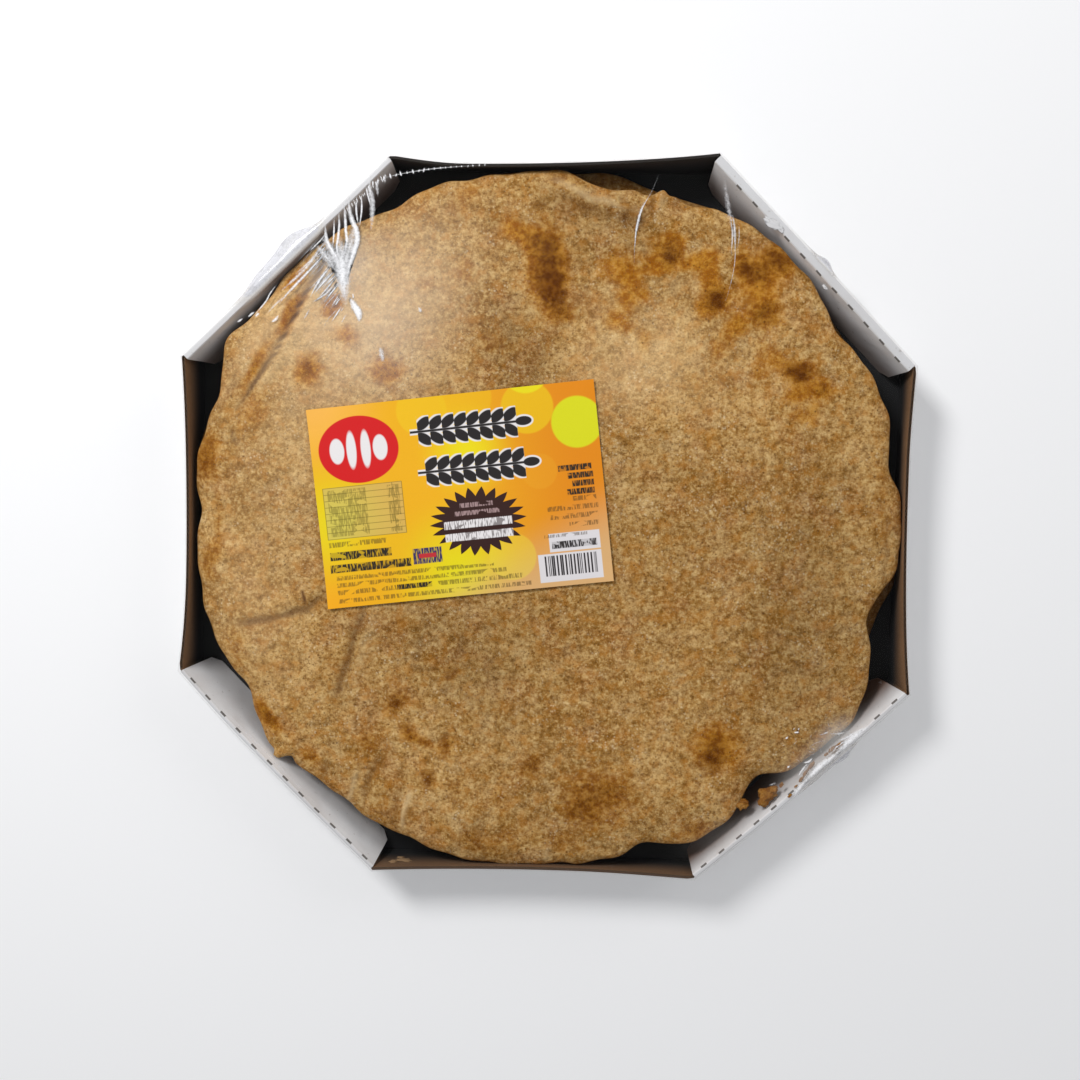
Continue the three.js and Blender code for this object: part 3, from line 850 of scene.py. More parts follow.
def crustMaterial():
    s = Shader("barleyCrust")
    toasted, golden = s.attribute("toasted"), s.attribute("golden")
    creased, rim = s.attribute("creased"), s.attribute("rim")
    tone, shaded = s.attribute("tone"), s.attribute("shaded")
    cloud, mottle, blush = s.grain(40, 3, 0.5), s.grain(9, 4, 0.6), s.grain(17, 3, 0.5, seed=11.0)
    grit, crumb, fine = s.grain(3.5, 4, 0.74), s.grain(2.6, 4, 0.7, seed=7.0), s.grain(1.5, 2, 0.65)
    seeds = s.node("TexVoronoi", {"feature": "F1"}, {"Vector": s.place, "Scale": 1 / (1.7 * mm)})
    s.base(cloud.ramp(0.3, 0.7), (190, 148, 88), (157, 114, 57))
    s.over(blush.ramp(0.48, 0.68) * 0.55, (164, 110, 60))
    s.over((1 - blush).ramp(0.52, 0.72) * 0.35, (190, 156, 106))
    s.over(mottle.ramp(0.44, 0.68) * 0.45, (148, 102, 34))
    s.over((1 - mottle).ramp(0.46, 0.7) * 0.35, (200, 168, 118))
    # grit of every size, dark in the dips and pale on top
    s.over(grit.ramp(0.48, 0.68) * 0.66, (104, 64, 6))
    s.over((1 - grit).ramp(0.48, 0.68) * 0.5, (228, 194, 132))
    s.over(fine.ramp(0.55, 0.64) * 0.5, (104, 62, 8))
    s.over((1 - fine).ramp(0.56, 0.66) * 0.34, (232, 202, 144))
    tan = s.grain(6, 3, 0.6, seed=13.0).ramp(0.5, 0.66)
    s.over(tan * 0.42, (178, 116, 38))
    # toasting: golden first, then brown, which also lays the painted fold shadow
    frayed = (crumb - 0.5) * 0.35 + (grit - 0.5) * 0.45 + (mottle - 0.5) * 0.3
    grains = grit.ramp(0.36, 0.62)
    gold = (golden + frayed).ramp(0.0, 0.85) * golden.ramp(0.0, 0.2)
    ochre = s.blend(grains, linear(190, 132, 42), linear(150, 88, 12))
    s.over(gold * 0.95, ochre)
    burn = (toasted + frayed * 0.8).ramp(0.0, 0.8) * toasted.ramp(0.0, 0.2)
    brown = s.blend(grains, linear(116, 66, 8), linear(84, 42, 2))
    s.over(burn * 0.96, brown)
    s.over(rim * 0.4, (144, 94, 38))
    # bran, dark and ragged; flour in loose clusters of pale grains
    bran = s.node("TexVoronoi", {"feature": "F1"}, {"Vector": s.place, "Scale": 1 / (3.2 * mm)})
    speck = (1 - bran.ramp(0.1, 0.2)) * s.grain(6, 1, seed=5.0).ramp(0.44, 0.52)
    s.over(speck * 0.6, (84, 50, 16))
    flour = (1 - seeds.ramp(0.1, 0.5)) * crumb.ramp(0.44, 0.56)
    flour = flour * s.grain(12, 3, 0.65, seed=2.0).ramp(0.48, 0.66)
    flour = flour * (1 - golden * 1.2).clamped()
    s.over(flour * 0.6, (234, 214, 176))
    # painted shade in the creases, and painted highlights along the ridges
    s.over((creased * 0.8).clamped(), (96, 60, 28))
    s.over((creased * -0.7).clamped(), (218, 190, 142))
    # painted light and shade of broad places, with the crust's own tone: paler where above nothing, darker
    # below
    s.over((tone * (0.8 - golden)).clamped(), (216, 188, 144))
    light = 1 + tone.least(0) + tone.most(0) * 0.35
    s.colour = s.node("VectorMath", {"operation": "SCALE"}, {0: s.colour, "Scale": light})
    s.over(shaded, (26, 16, 8))
    # lumps in millimetres, from broad to fine
    height = s.grain(15, 3, 0.55, seed=21.0) * 3.4 + mottle * 0.9 - grit * 0.8 - speck * 0.1
    return s.finish(
        Base_Color=s.colour, Roughness=0.85 - gold * 0.12, Specular_IOR_Level=0.06,
        Normal=s.bump(height, 1, 0.9))


crust = crustMaterial()
upperPiece = upperBread()
lowerPiece = lowerBread()
for piece in (upperPiece, lowerPiece):
    dress(piece, crust)

print("label")

card = {
    "width": 148, "height": 103, "thick": 0.3, "centre": (-43.1, 12.3), "turn": 7.3,
    "lift": 1.2, "cells": (74, 52),
}


def cardPlace(u, v):
    x, y = turnedOut(u, v, *card["centre"], card["turn"])
    under = crown(np.hypot(x, y) / breadReach(np.arctan2(y, x))) + swell(x, y)
    return x, y, under + card["lift"]


def labelCard():
    across, up = card["cells"]
    u, v = np.meshgrid(np.linspace(-0.5, 0.5, across + 1), np.linspace(-0.5, 0.5, up + 1), indexing="ij")
    u, v = u.ravel(), v.ravel()
    x, y, z = cardPlace(u * card["width"], v * card["height"])
    # its corners curl up
    curl = 0.5 * np.clip(np.abs(u) * 2 - 0.86, 0, 1) * np.clip(np.abs(v) * 2 - 0.8, 0, 1) / 0.028
    top = np.stack([x, y, z + card["thick"] + curl], axis=1)
    low = np.stack([x, y, z + curl], axis=1)
    faces, loop = netFaces(across, up)
    count = len(top)
    faces = np.concatenate([faces, faces[:, ::-1] + count, ringFaces(loop, loop + count)])
    piece = addPiece("labelCard", np.concatenate([top, low]), faces, "label", "label", smooth=False)
    paint(piece, "cardAcross", np.r_[u, u] * card["width"])
    paint(piece, "cardUp", np.r_[v, v] * card["height"])
    return piece


class CardPrint(Shader):
    # shapes printed on the card, as masks; their sizes are millimetres from its middle
    def __init__(self, name):
        super().__init__(name)
        self.u, self.v = self.attribute("cardAcross"), self.attribute("cardUp")

    def box(self, cx, cy, wide, high, soft=0.35):
        far = (abs(self.u - cx) - wide / 2).most(abs(self.v - cy) - high / 2)
        return (0.5 - far / soft).clamped()

    def boxes(self, rows):
        whole = self.box(*rows[0])
        for row in rows[1:]:
            whole = whole.most(self.box(*row))
        return whole

    def far(self, cx, cy, wide, high):
        # 1 on an oval's edge, and 0 in its middle
        across, up = (self.u - cx) / wide, (self.v - cy) / high
        return (across * across + up * up).does("SQRT")

    def disc(self, cx, cy, radius, tall=None, soft=0.5):
        return ((1 - self.far(cx, cy, radius, tall or radius)) * (radius / soft) + 0.5).clamped()

    def glow(self, cx, cy, radius):
        return (1 - self.far(cx, cy, radius, radius)).ramp(0.0, 1.0)

    def star(self, cx, cy, wide, high, points, deep):
        turn = ((self.v - cy) / high).does("ARCTAN2", (self.u - cx) / wide)
        point = abs((turn * (points / (2 * math.pi))).does("FRACT") - 0.5) * 2
        return ((point * deep + (1 - deep) - self.far(cx, cy, wide, high)) * 50 + 0.5).clamped()

    def ear(self, cx, cy, long, pitch, grow):
        # a row of paired grains on a stalk
        along = (self.u - cx + long / 2) / pitch
        a = (along.does("FRACT") - 0.5) * pitch
        b = abs(self.v - cy) - 3.9
        tilt = math.radians(36)
        major = (a * math.cos(tilt) + b * math.sin(tilt)) / (4.8 + grow)
        minor = (b * math.cos(tilt) - a * math.sin(tilt)) / (2.6 + grow)
        grain = ((1 - (major * major + minor * minor).does("SQRT")) * 6 + 0.5).clamped()
        stalk = self.box(cx - 1.5, cy, long + 5, 1.2 + grow * 2)
        tip = self.disc(cx + long / 2 + 3.4, cy, 4.2 + grow, 2.3 + grow)
        return (grain * self.box(cx, cy, long, 16, 0.2)).most(stalk).most(tip)

    def broken(self, across, up, start, detail, low, high):
        # broken marks, as many to a millimetre as the first two numbers say
        place = self.node("CombineXYZ", {}, {0: self.u * across, 1: self.v * up, 2: start})
        return self.node("TexNoise", {}, {"Vector": place, "Scale": 1.0, "Detail": detail}).ramp(low, high)


def printFields(s):
    # fields of colour: soft glows, a fall of tan towards one corner, and pale discs
    s.base((s.u * 0.012 + 0.2).ramp(0.0, 1.0), (242, 178, 10), (230, 138, 2))
    for cx, cy, radius, strength, tint in (
        (-72, 56, 46, 0.9, (252, 186, 84)), (-66, -8, 40, 1.0, (236, 214, 8)),
        (6, 22, 28, 1.0, (240, 222, 4)), (-4, -40, 44, 1.0, (236, 222, 6)),
        (-70, -58, 30, 0.8, (250, 170, 8)),
    ):
        s.over(s.glow(cx, cy, radius) * strength, tint)
    s.over((s.u * 0.008 - s.v * 0.017 - 0.52).ramp(0.0, 0.7), (222, 176, 118))
    for cx, cy, radius, strength, tint in (
        (-15, 45, 13, 0.45, (244, 206, 20)), (8, 49, 13.5, 0.45, (242, 196, 8)),
        (39, 41, 13.4, 0.75, (238, 196, 6)), (40, 60, 12, 0.9, (236, 224, 12)),
        (63.5, 31, 13.1, 1.0, (220, 220, 18)), (42, 8, 9, 0.3, (240, 170, 30)),
        (-44, -18, 15, 0.3, (240, 190, 10)), (24, -34, 12, 0.4, (240, 220, 60)),
    ):
        s.over(s.disc(cx, cy, radius, soft=0.9) * strength, tint)


def printShapes(s):
    ink, white = (22, 22, 28), (236, 232, 232)
    # a red oval with plain white bars
    s.over(s.disc(-49.3, 28.7, 20.7, 17.2), (214, 6, 18))
    for cx, wide, high in ((-60.5, 7.5, 13), (-53, 5, 19), (-45.6, 5, 19), (-38.1, 7.5, 13)):
        s.over(s.disc(cx, 28.7, wide / 2, high / 2, 0.5), white)
    # two ears of grain, outlined
    for grow, tint in ((0.9, white), (0.0, ink)):
        for cx, cy in ((7.5, 34.4), (9.5, 13.4)):
            s.over(s.ear(cx, cy, 51.2, 6.4, grow), tint)
    s.over(s.star(8.1, -14.1, 25, 17.7, 22, 0.27), (44, 12, 14))


def printRows(s):
    # rows of small print, as broken bars: middle, width, height
    stroke = s.broken(1.6, 0.22, 0.0, 1.0, 0.38, 0.52)
    printed = stroke * s.broken(0.14, 0.3, 4.0, 0.0, 0.36, 0.4)
    thin = [
        (-55, -19, 30, 2.6), (-27, -36.4, 82, 2.2), (-24, -40, 88, 2.2), (-20, -43.8, 96, 2.4),
        (-18, -48.2, 100, 2.2), (63.5, -7.6, 12, 2.4), (57, -11.9, 26, 2.5), (57.5, -16.2, 25, 2.5),
        (62, -20.6, 15, 2.4), (52, -25.6, 22, 1.6),
    ]
    bold = [
        (-54, -25, 32, 4.2), (-49.5, -31.4, 42, 4.2), (60, 8.2, 17, 3), (62.5, 4.1, 13, 3), (63.5, 0, 11, 3),
        (62, -4.1, 14, 3), (-28, -43.8, 18, 2.6),
    ]
    s.over(s.boxes([(56.2, -29.1, 26, 9.4), (53, -41.8, 32.4, 14.4)]), (226, 222, 224))
    s.over(s.boxes(thin) * printed * 0.62, (70, 52, 20))
    s.over(s.boxes(bold) * (0.35 + 0.65 * printed), (34, 28, 22))
    s.over(s.box(56, -30.4, 23, 3.6) * (0.25 + 0.75 * printed), (40, 38, 42))
    # on the star
    s.over(s.boxes([(8, -5.4, 17, 2.3), (8, -9.4, 23, 2.3)]) * printed * 0.7, (190, 160, 160))
    s.over(s.boxes([(8, -15, 35, 4), (8, -21.3, 35, 4)]) * (0.3 + 0.7 * printed), (236, 232, 232))
    # striped bars of a plain code, and a small patch in three colours
    s.over(s.box(53, -40.8, 27, 10.4) * s.broken(1.15, 0, 9.0, 0.0, 0.47, 0.53), (36, 34, 40))
    s.over(s.box(-19.7, -29, 15, 8) * stroke.most(0.4), (44, 40, 96))
    s.over(s.box(-19.7, -29, 9, 2.2), (196, 40, 50))
    return printed


def printTable(s, printed):
    # a pale field with nine rules, three lines up it and two columns of broken marks
    cx, cy, wide, high = -49.6, -2.9, 41, 26.6
    s.over(s.box(cx, cy, wide, high) * 0.4, (176, 172, 128))
    rules = [(cx, cy + 13.2 - 3.3 * i, wide, 0.3, 0.25) for i in range(9)]
    rules += [(cx + side, cy, 0.35, high, 0.25) for side in (-20.5, 15.5, 20.5)]
    s.over(s.boxes(rules) * 0.7, (96, 84, 20))
    s.over(s.boxes([(-58, cy, 20, 24), (-33.8, cy, 6, 24)]) * printed * 0.5, (96, 84, 20))


def labelMaterial():
    s = CardPrint("printedCard")
    printFields(s)
    printShapes(s)
    printTable(s, printRows(s))
    s.over(s.grain(0.7, 2, 0.6) * 0.08, (120, 90, 40))
    normal = s.bump(s.grain(9, 2), 0.25, 0.25)
    return s.finish(Base_Color=s.colour, Roughness=0.36, Specular_IOR_Level=0.35, Normal=normal)


def cardEdgeMaterial():
    s = Shader("cardEdge")
    s.base(s.grain(1.5), (226, 214, 196), (196, 180, 160))
    return s.finish(Base_Color=s.colour, Roughness=0.7)


labelPiece = labelCard()
dress(labelPiece, labelMaterial(), cardEdgeMaterial())
cardFaces = card["cells"][0] * card["cells"][1]
kinds = [0] * cardFaces + [1] * (len(labelPiece.data.polygons) - cardFaces)
labelPiece.data.polygons.foreach_set("material_index", kinds)

print("film")

film = {
    "gap": 0.3, "rimUp": 0.45, "out": 0.7, "round": 0.25, "hold": 0.9, "cells": 216, "under": 0.08,
    # where crumbs lift it: middle, how wide, how high
    "lifted": (146, -121, 15, 1.1),
    # how far in from the rim the loose folds are milky, at the left and at the right
    "milkyIn": (4.6, 1.0),
    # how far the loose folds stand out of a wall: wall, out, where along it, how wide
    "ears": [
        (1, 3.6, 0.475, 0.03), (1, 0.5, 0.53, 0.06), (3, 6.6, 0.44, 0.055), (3, 4.8, 0.58, 0.085),
        (7, 3.0, 0.69, 0.032), (7, 1.9, 0.6, 0.08),
    ],
    # heights down the walls, and how much of the ears shows there
    "levels": [(29.4, 0.35), (26.5, 0.85), (21, 1.0), (13, 0.9), (5, 0.4), (0.8, 0.0)],
    # hazy places, the film's own milkiness with painted glare at the upper left and a painted reflection at
    # the lower right: middle, half sizes, turn, how milky
    "glareHaze": [
        (-84, 110, 56, 44, 45, 0.13), (-106, 127, 24, 15, 50, 0.18), (-84, 84, 26, 28, 0, 0.08),
        (153, -106, 13, 7, 40, 0.3), (139, -123, 18, 7, 42, 0.22), (96, -160, 20, 8, 30, 0.05),
    ],
    # painted glints, streaks off the pleats: where the first and the last start, how far that scatters, how
    # long they are and how much shorter the last is, which way they run, turning by how much, and how far
    # that scatters
    "streaks": [
        {"count": 34, "first": (-115.5, 143.5), "last": (-104, 106), "scatter": (-1.5, 1.5), "long": (6, 24),
         "fade": 0.55, "aim": (229, 8, 3), "bend": 0.5, "wide": (0.5, 1.1), "white": (0.35, 0.8)},
        {"count": 40, "first": (-116.5, 143.5), "last": (-106, 114), "scatter": (-4, 1.5), "long": (10, 26),
         "fade": 0.5, "aim": (228, 6, 2), "bend": 0.4, "wide": (0.3, 0.6), "white": (0.25, 0.6)},
    ],
    # the gathered hem along the far rim, with painted glints
    "hem": [(-93, 167.5), (-88, 170.5), (-81.5, 173), (-70, 175.4), (-56, 177.4), (-34, 179.2)],
}

# Painted glints and highlights of the film's folds, as thin white strips: the line, how wide, how white
foldGlints = [
    # pleats gathered at the upper left corner
    ([(-91.7, 174.4), (-92.3, 167.4), (-90.8, 159.7), (-91, 150.9), (-91.3, 144.6)], 4.4, 0.62),
    ([(-88.9, 171.4), (-88, 162.4)], 2.4, 0.6),
    ([(-84.9, 174), (-84.3, 168.4)], 1.6, 0.6),
    ([(-94.3, 168.3), (-93.3, 163.8), (-91.3, 157)], 1.2, 0.8),
    ([(-98.9, 163), (-98.9, 155.3), (-97.6, 147)], 1.5, 0.8),
    ([(-96.6, 165), (-96.2, 156.1), (-97.4, 147)], 1.3, 0.85),
    ([(-102.9, 164), (-102.4, 156), (-101, 150.7), (-99, 146.2), (-98.4, 141.3), (-99.7, 136),
      (-102.4, 128), (-104, 118)], 4.2, 0.9),
    ([(-105.6, 159.5), (-104.6, 152.4), (-104.2, 145.4), (-103.7, 140.1), (-105.3, 131)], 2.3, 0.85),
    ([(-108, 156.5), (-107.6, 148.9), (-108.1, 141.8), (-108.7, 136.5), (-106.5, 128)], 1.9, 0.85),
    ([(-110.2, 152), (-110.3, 143.6), (-110.9, 136)], 1.3, 0.85),
    ([(-114.8, 149.5), (-114.2, 141.7), (-112.6, 137.6), (-109.6, 133), (-105, 125)], 3.0, 0.85),
    ([(-108, 144), (-106.5, 135), (-106, 126), (-105, 118), (-103.6, 107)], 11, 0.74),
    ([(-99.5, 150), (-101, 142), (-103.5, 132), (-105, 122)], 8.5, 0.6),
    ([(-117.5, 143), (-112, 136), (-107.5, 127), (-105, 118)], 8.5, 0.62),
    ([(-120, 139), (-114, 132), (-108.5, 124)], 6.5, 0.6),
    # streaks that run down from them along the edge
    ([(-114.5, 140.3), (-121.6, 130.4), (-131.5, 121.5)], 2.3, 0.6),
    ([(-115.9, 136.4), (-126.6, 124), (-138, 113.5)], 2.6, 0.6),
    ([(-115, 134), (-122.3, 125.4), (-132.6, 114.4), (-139.5, 106.5)], 2.1, 0.75),
    ([(-110.8, 129), (-117.2, 120.5), (-122.5, 110.9)], 1.9, 0.75),
    ([(-109.6, 125.6), (-115.7, 118.8), (-120.6, 112.6)], 1.7, 0.75),
    ([(-108.5, 122.5), (-114.2, 115.6), (-120, 108.6)], 1.5, 0.6),
    ([(-108.6, 119.6), (-114.2, 113.5), (-121.6, 108.6)], 1.7, 0.65),
    ([(-104.4, 109.2), (-111.9, 101.5), (-115.8, 95)], 1.2, 0.4),
    ([(-102.8, 104), (-106.2, 98.2)], 1.2, 0.5),
    ([(-121.9, 106.2), (-125.6, 99.4)], 1.5, 0.5),
    ([(-151.8, 100.8), (-148.9, 104), (-144.6, 109.5), (-142.8, 113), (-138.5, 118.6)], 1.2, 0.8),
    ([(-132.6, 114), (-140.2, 107.4), (-145.2, 101.6)], 1.9, 0.5),
    # painted glints
    ([(-101.6, 112), (-99.4, 107.8), (-96.8, 103.6), (-96.6, 98.6)], 5.6, 0.95),
    ([(-100.2, 114.4), (-99.8, 110.6)], 1.2, 0.8),
    ([(-85.6, 87.4), (-84.6, 82.8), (-83.8, 78.6)], 4.2, 0.6),
    ([(-66.2, 108), (-64.6, 104)], 3.0, 0.62),
    ([(-160, 98.2), (-158.3, 98.9), (-156.4, 100.6)], 1.5, 0.8),
    ([(-154.4, 100.6), (-152.5, 102.2), (-150, 104)], 1.7, 0.85),
    ([(-150.8, 100.8), (-147.8, 103.4)], 2.0, 0.85),
    ([(-142.4, 98.4), (-139.8, 100), (-138.2, 102.6)], 2.4, 0.8),
    # two painted glint lines at the upper right
    ([(55.3, 179.3), (50.2, 166.8), (45.4, 157.9), (42.9, 143.4), (42.8, 126)], 0.7, 0.5),
    ([(49.8, 166), (45.8, 158.4), (43.4, 149), (42.8, 138)], 1.5, 0.75),
    ([(47, 163), (44.6, 155), (43.6, 146)], 2.4, 0.45),
    ([(88.1, 172), (89.9, 158), (91.6, 149), (93.2, 141), (93, 130), (90, 116), (86.6, 108.6)], 0.8, 0.5),
    ([(86.4, 176), (88, 165), (90.6, 154), (92.6, 145)], 4.0, 0.42),
    ([(91.2, 158), (92.8, 148), (93.4, 139)], 1.8, 0.62),
    ([(90.6, 154), (91.6, 146), (91.4, 136)], 1.2, 0.6),
    ([(94.6, 153), (95, 145), (94.2, 139)], 1.0, 0.5),
    # painted glare along the lower right flap, and painted sparkles
    ([(171.5, -99.5), (161.6, -107), (157.1, -111.5), (151.9, -116.8)], 5.2, 0.8),
    ([(156.5, -113.2), (146.7, -121), (141.6, -126.2), (135.6, -133.4)], 4.6, 0.8),
    ([(140.8, -128.6), (136.4, -132.4), (132, -139.6)], 3.4, 0.7),
    ([(163.5, -103.5), (157.5, -107.6), (153.4, -108.8)], 1.6, 0.7),
    ([(160, -103.6), (154.6, -105.2), (149, -105.4)], 1.8, 0.5),
    ([(158.5, -108.4), (153.8, -111.6), (151.2, -115)], 1.5, 0.85),
    ([(150.6, -103.4), (146.6, -105.6), (143.6, -106.2)], 1.3, 0.5),
    ([(148, -108.6), (142.6, -110.6), (139, -113.4)], 1.2, 0.35),
    ([(141.6, -118), (139.2, -120.4), (136.4, -121)], 1.7, 0.85),
    ([(139.6, -120.4), (136.4, -124.6), (134, -129)], 1.4, 0.7),
    ([(130.4, -122.6), (128.4, -124.2)], 1.8, 0.9),
    ([(129, -107.6), (127.2, -109.4)], 1.7, 0.95),
    ([(134.8, -105.2), (131.2, -105.6)], 1.4, 0.9),
    ([(132.6, -102.6), (130.6, -104.8)], 0.9, 0.6),
    ([(134.4, -102.4), (133.6, -105)], 0.9, 0.7),
    ([(124, -131.8), (119.4, -133.6)], 1.3, 0.5),
    # lower left: two long faint painted glint lines on the flap
    ([(-186, -86), (-160, -108), (-130, -137), (-104, -164)], 0.7, 0.3),
    ([(-184, -90), (-157, -115), (-128, -143), (-106, -166)], 0.6, 0.25),
]


def filmTop(x, y):
    # the film lies on the bread and runs straight from its shoulder to the tray's rim
    angle, far = np.arctan2(y, x), np.hypot(x, y)
    rim = wallReach(angle, tray["height"])
    whole = breadReach(angle)
    held = np.minimum(far, whole * film["hold"])
    hx, hy = polar(angle, held)
    relief, _ = breadRelief(hx, hy)
    lying = crown(held / whole) + swell(hx, hy) + np.maximum(relief, -0.15) + film["gap"]
    free = np.clip((far - held) / (rim - held), 0, 1)
    flat = flatPoints(x, y)
    ripple = 0.3 * np.sin(free * math.pi) * rough(flat, 13, 21) + 0.08 * rough(flat, 22, 22)
    cx, cy, wide, high = film["lifted"]
    lifted = high * np.exp(-((x - cx) ** 2 + (y - cy) ** 2) / wide ** 2)
    return lying * (1 - free) + (tray["height"] + film["rimUp"]) * free + ripple + lifted


def earOut(wall, share):
    out = 0
    for place, far, middle, wide in film["ears"]:
        if place == wall:
            out = out + far * np.exp(-((share - middle) / wide) ** 2 / 2)
    return out


def filmWrap():
    cells = film["cells"]
    share, angle, faces, loop = diskGrid(cells)
    # the net's points nearest the corners move onto them
    corners = np.sort(np.arctan2(wallStart[:, 1], wallStart[:, 0]))
    around = np.sort(angle[loop])
    nearest = np.array([around[np.abs(around - corner).argmin()] for corner in corners])
    angle = angle + np.interp(angle, nearest, corners - nearest, period=2 * math.pi)
    top, out = tray["height"] + film["rimUp"], film["out"] - film["round"]
    far = share * wallReach(angle, tray["height"], out)
    x, y = polar(angle, far)
    # each point of the rim knows its wall and its place along it
    ray = np.stack(polar(angle[loop]), axis=1)
    reaches = np.sum(wallStart * wallOut, axis=1) / np.maximum(ray @ wallOut.T, 0.01)
    walls = reaches.argmin(axis=1)
    spots = ray * reaches.min(axis=1)[:, None] - wallStart[walls]
    shares = np.clip(np.sum(spots * wallAlong[walls], axis=1) / wallLength[walls], 0, 1)

    def sideRing(z, offset, shows=0.0):
        spots = zip(walls, shares)
        ring = np.array([wallSpots(wall, run, z, offset, shows * earOut(wall, run)) for wall, run in spots])
        return np.column_stack([ring, np.full(len(ring), z)])

    x[loop], y[loop] = sideRing(top, out)[:, :2].T
    points = np.stack([x, y, filmTop(x, y)], axis=1)
    points[loop, 2] = top
    milky = patches(x, y, film["glareHaze"], 1.4)
    milky = milky * np.where(x < 0, 1 - step(0.93, 1.0, np.hypot(x, y) / breadReach(np.arctan2(y, x))), 1)
    ears = np.array([earOut(wall, along) for wall, along in zip(walls, shares)])
    # a loose fold is milky over the rim too
    near = np.interp(angle, angle[loop], ears, period=2 * math.pi)
    fromRim = (1 - share) * wallReach(angle, tray["height"])
    covered = np.where(x < 0, *film["milkyIn"])
    milky = np.maximum(milky, 0.8 * step(0.3, 2.4, near) * (1 - step(covered * 0.6, covered, fromRim)))
    skin, clouds = Skin(points, faces.tolist(), loop), [milky]
    for z, shows in film["levels"]:
        ring = sideRing(z, film["out"], shows)
        wave = 0.22 * rough(ring * np.array([1, 1, 0.35]), 7, 24) * (z < 28)
        ring[:, :2] += ray * np.maximum(wave, -0.15)[:, None]
        skin.ring(ring)
        clouds.append(0.03 + 0.85 * step(0.15, 1.7, shows * ears) * step(8, 20, z))
    # round the foot and under the tray
    for shrink in (0.985, 0.5):
        ring = ring * np.array([shrink, shrink, 0])
        ring[:, 2] = film["under"]
        skin.ring(ring)
        clouds.append(np.full(len(loop), 0.04))
    piece = addPiece("filmWrap", skin.close(film["under"]), skin.faces, "film", "film")
    paint(piece, "cloud", np.concatenate([*clouds, [0]]))
    return piece


def smoothPath(line, spacing):
    # a curve through the given points, with a step about every so many millimetres
    line = np.array(line, float)
    ends = np.vstack([2 * line[0] - line[1], line, 2 * line[-1] - line[-2]])
    found = []
    for a, b, c, d in zip(ends, ends[1:], ends[2:], ends[3:]):
        steps = max(2, int(np.linalg.norm(c - b) / spacing))
        for t in np.arange(steps) / steps:
            found.append(0.5 * (2 * b + (c - a) * t + (2 * a - 5 * b + 4 * c - d) * t ** 2
                                + (3 * b - a - 3 * c + d) * t ** 3))
    return np.array(found + [line[-1]])


def streaks(draw, count, first, last, scatter, long, fade, aim, bend, wide, white):
    # parallel streaks off the pleats' left side
    found = []
    for i in range(count):
        share = (i + draw.uniform(-0.5, 0.5)) / count
        start = np.array(first) * (1 - share) + np.array(last) * share + draw.uniform(*scatter, 2)
        reach = draw.uniform(*long) * (1 - fade * share)
        turn = math.radians(draw.normal(aim[0] + aim[1] * share, aim[2]))
        ray = np.array(polar(turn, reach))
        middle = start + ray / 2 + draw.uniform(-bend, bend, 2)
        found.append(([start, middle, start + ray], draw.uniform(*wide), draw.uniform(*white)))
    return found


def fineFoldGlints():
    # the many thin painted glints that follow a rule
    draw = np.random.default_rng(7)
    short, long = film["streaks"]
    found = streaks(draw, **short)
    stitchLine = smoothPath(film["hem"], 2.5)
    for i, (x, y) in enumerate(stitchLine):
        # the gathered hem along the top rim
        fade = 1 - i / len(stitchLine)
        tall = draw.uniform(2.6, 4.2) * (0.5 + 0.5 * fade)
        lean = draw.uniform(-0.9, 0.9)
        found.append(([(x - lean, y + tall * 0.5), (x + lean * 0.3, y - tall * 0.5)], 1.3, 0.7 + 0.25 * fade))
    found.append((stitchLine.tolist(), 0.7, 0.6))
    for i in range(26):
        # short painted sparkles of creases over the lower right edge
        x, y = draw.normal(142, 12), draw.normal(-112, 8)
        if 236 < x - y < 272:
            turn = draw.uniform(0, math.pi)
            half = draw.uniform(0.6, 2.6)
            dx, dy = polar(turn, half)
            found.append(([(x - dx, y - dy), (x + dx, y + dy)], draw.uniform(0.4, 0.8), 0.45))
    for i in range(10):
        # and a few over the corner of the bread by the lower left
        x, y = draw.uniform(-70, 70), draw.normal(-176, 3)
        found.append(([(x, y + 2), (x + draw.uniform(-1, 1), y - 2)], 0.5, 0.22))
    found += streaks(draw, **long)
    for i in range(17):
        # a comb of short pleats up the inner side of the flap's fold
        share = (i + draw.uniform(-0.3, 0.3)) / 16
        x, y = np.array([-104.5, 155]) * (1 - share) + np.array([-84, 173.4]) * share
        half = draw.uniform(1.2, 2.4)
        lean = draw.uniform(-0.4, 0.4)
        found.append(([(x - half * 0.4, y + half), (x + half * 0.4 + lean, y - half)], 0.9, 0.75))
    return found


def filmFoldGlints():
    across = np.array([-1, -0.5, 0, 0.5, 1])
    tent = np.array([0, 0.7, 1, 0.7, 0])
    points, faces, marks = [], [], []
    for line, wide, white in foldGlints + fineFoldGlints():
        path = smoothPath(line, 1.1)
        along = np.linspace(0, 1, len(path))
        taper = np.maximum(np.sin(along * math.pi), 0.02) ** 0.55
        heading = np.gradient(path, axis=0)
        heading /= np.linalg.norm(heading, axis=1)[:, None]
        side = np.stack([-heading[:, 1], heading[:, 0]], axis=1)
        half = taper * wide / 2
        spots = path[:, None, :] + side[:, None, :] * (across * half[:, None])[:, :, None]
        spots = spots.reshape(-1, 2)
        tall = np.outer(taper, tent).ravel() * min(0.05 * wide, 0.12)
        z = filmTop(spots[:, 0], spots[:, 1]) + 0.06 + tall
        first = sum(len(row) for row in points)
        points.append(np.column_stack([spots, z]))
        faces += barFaces(first, len(path), 5)
        marks.append(np.outer(taper, tent ** 1.3).ravel() * white)
    piece = addPiece("filmFoldGlints", np.concatenate(points), faces, "film")
    paint(piece, "cloud", np.concatenate(marks))
    return piece


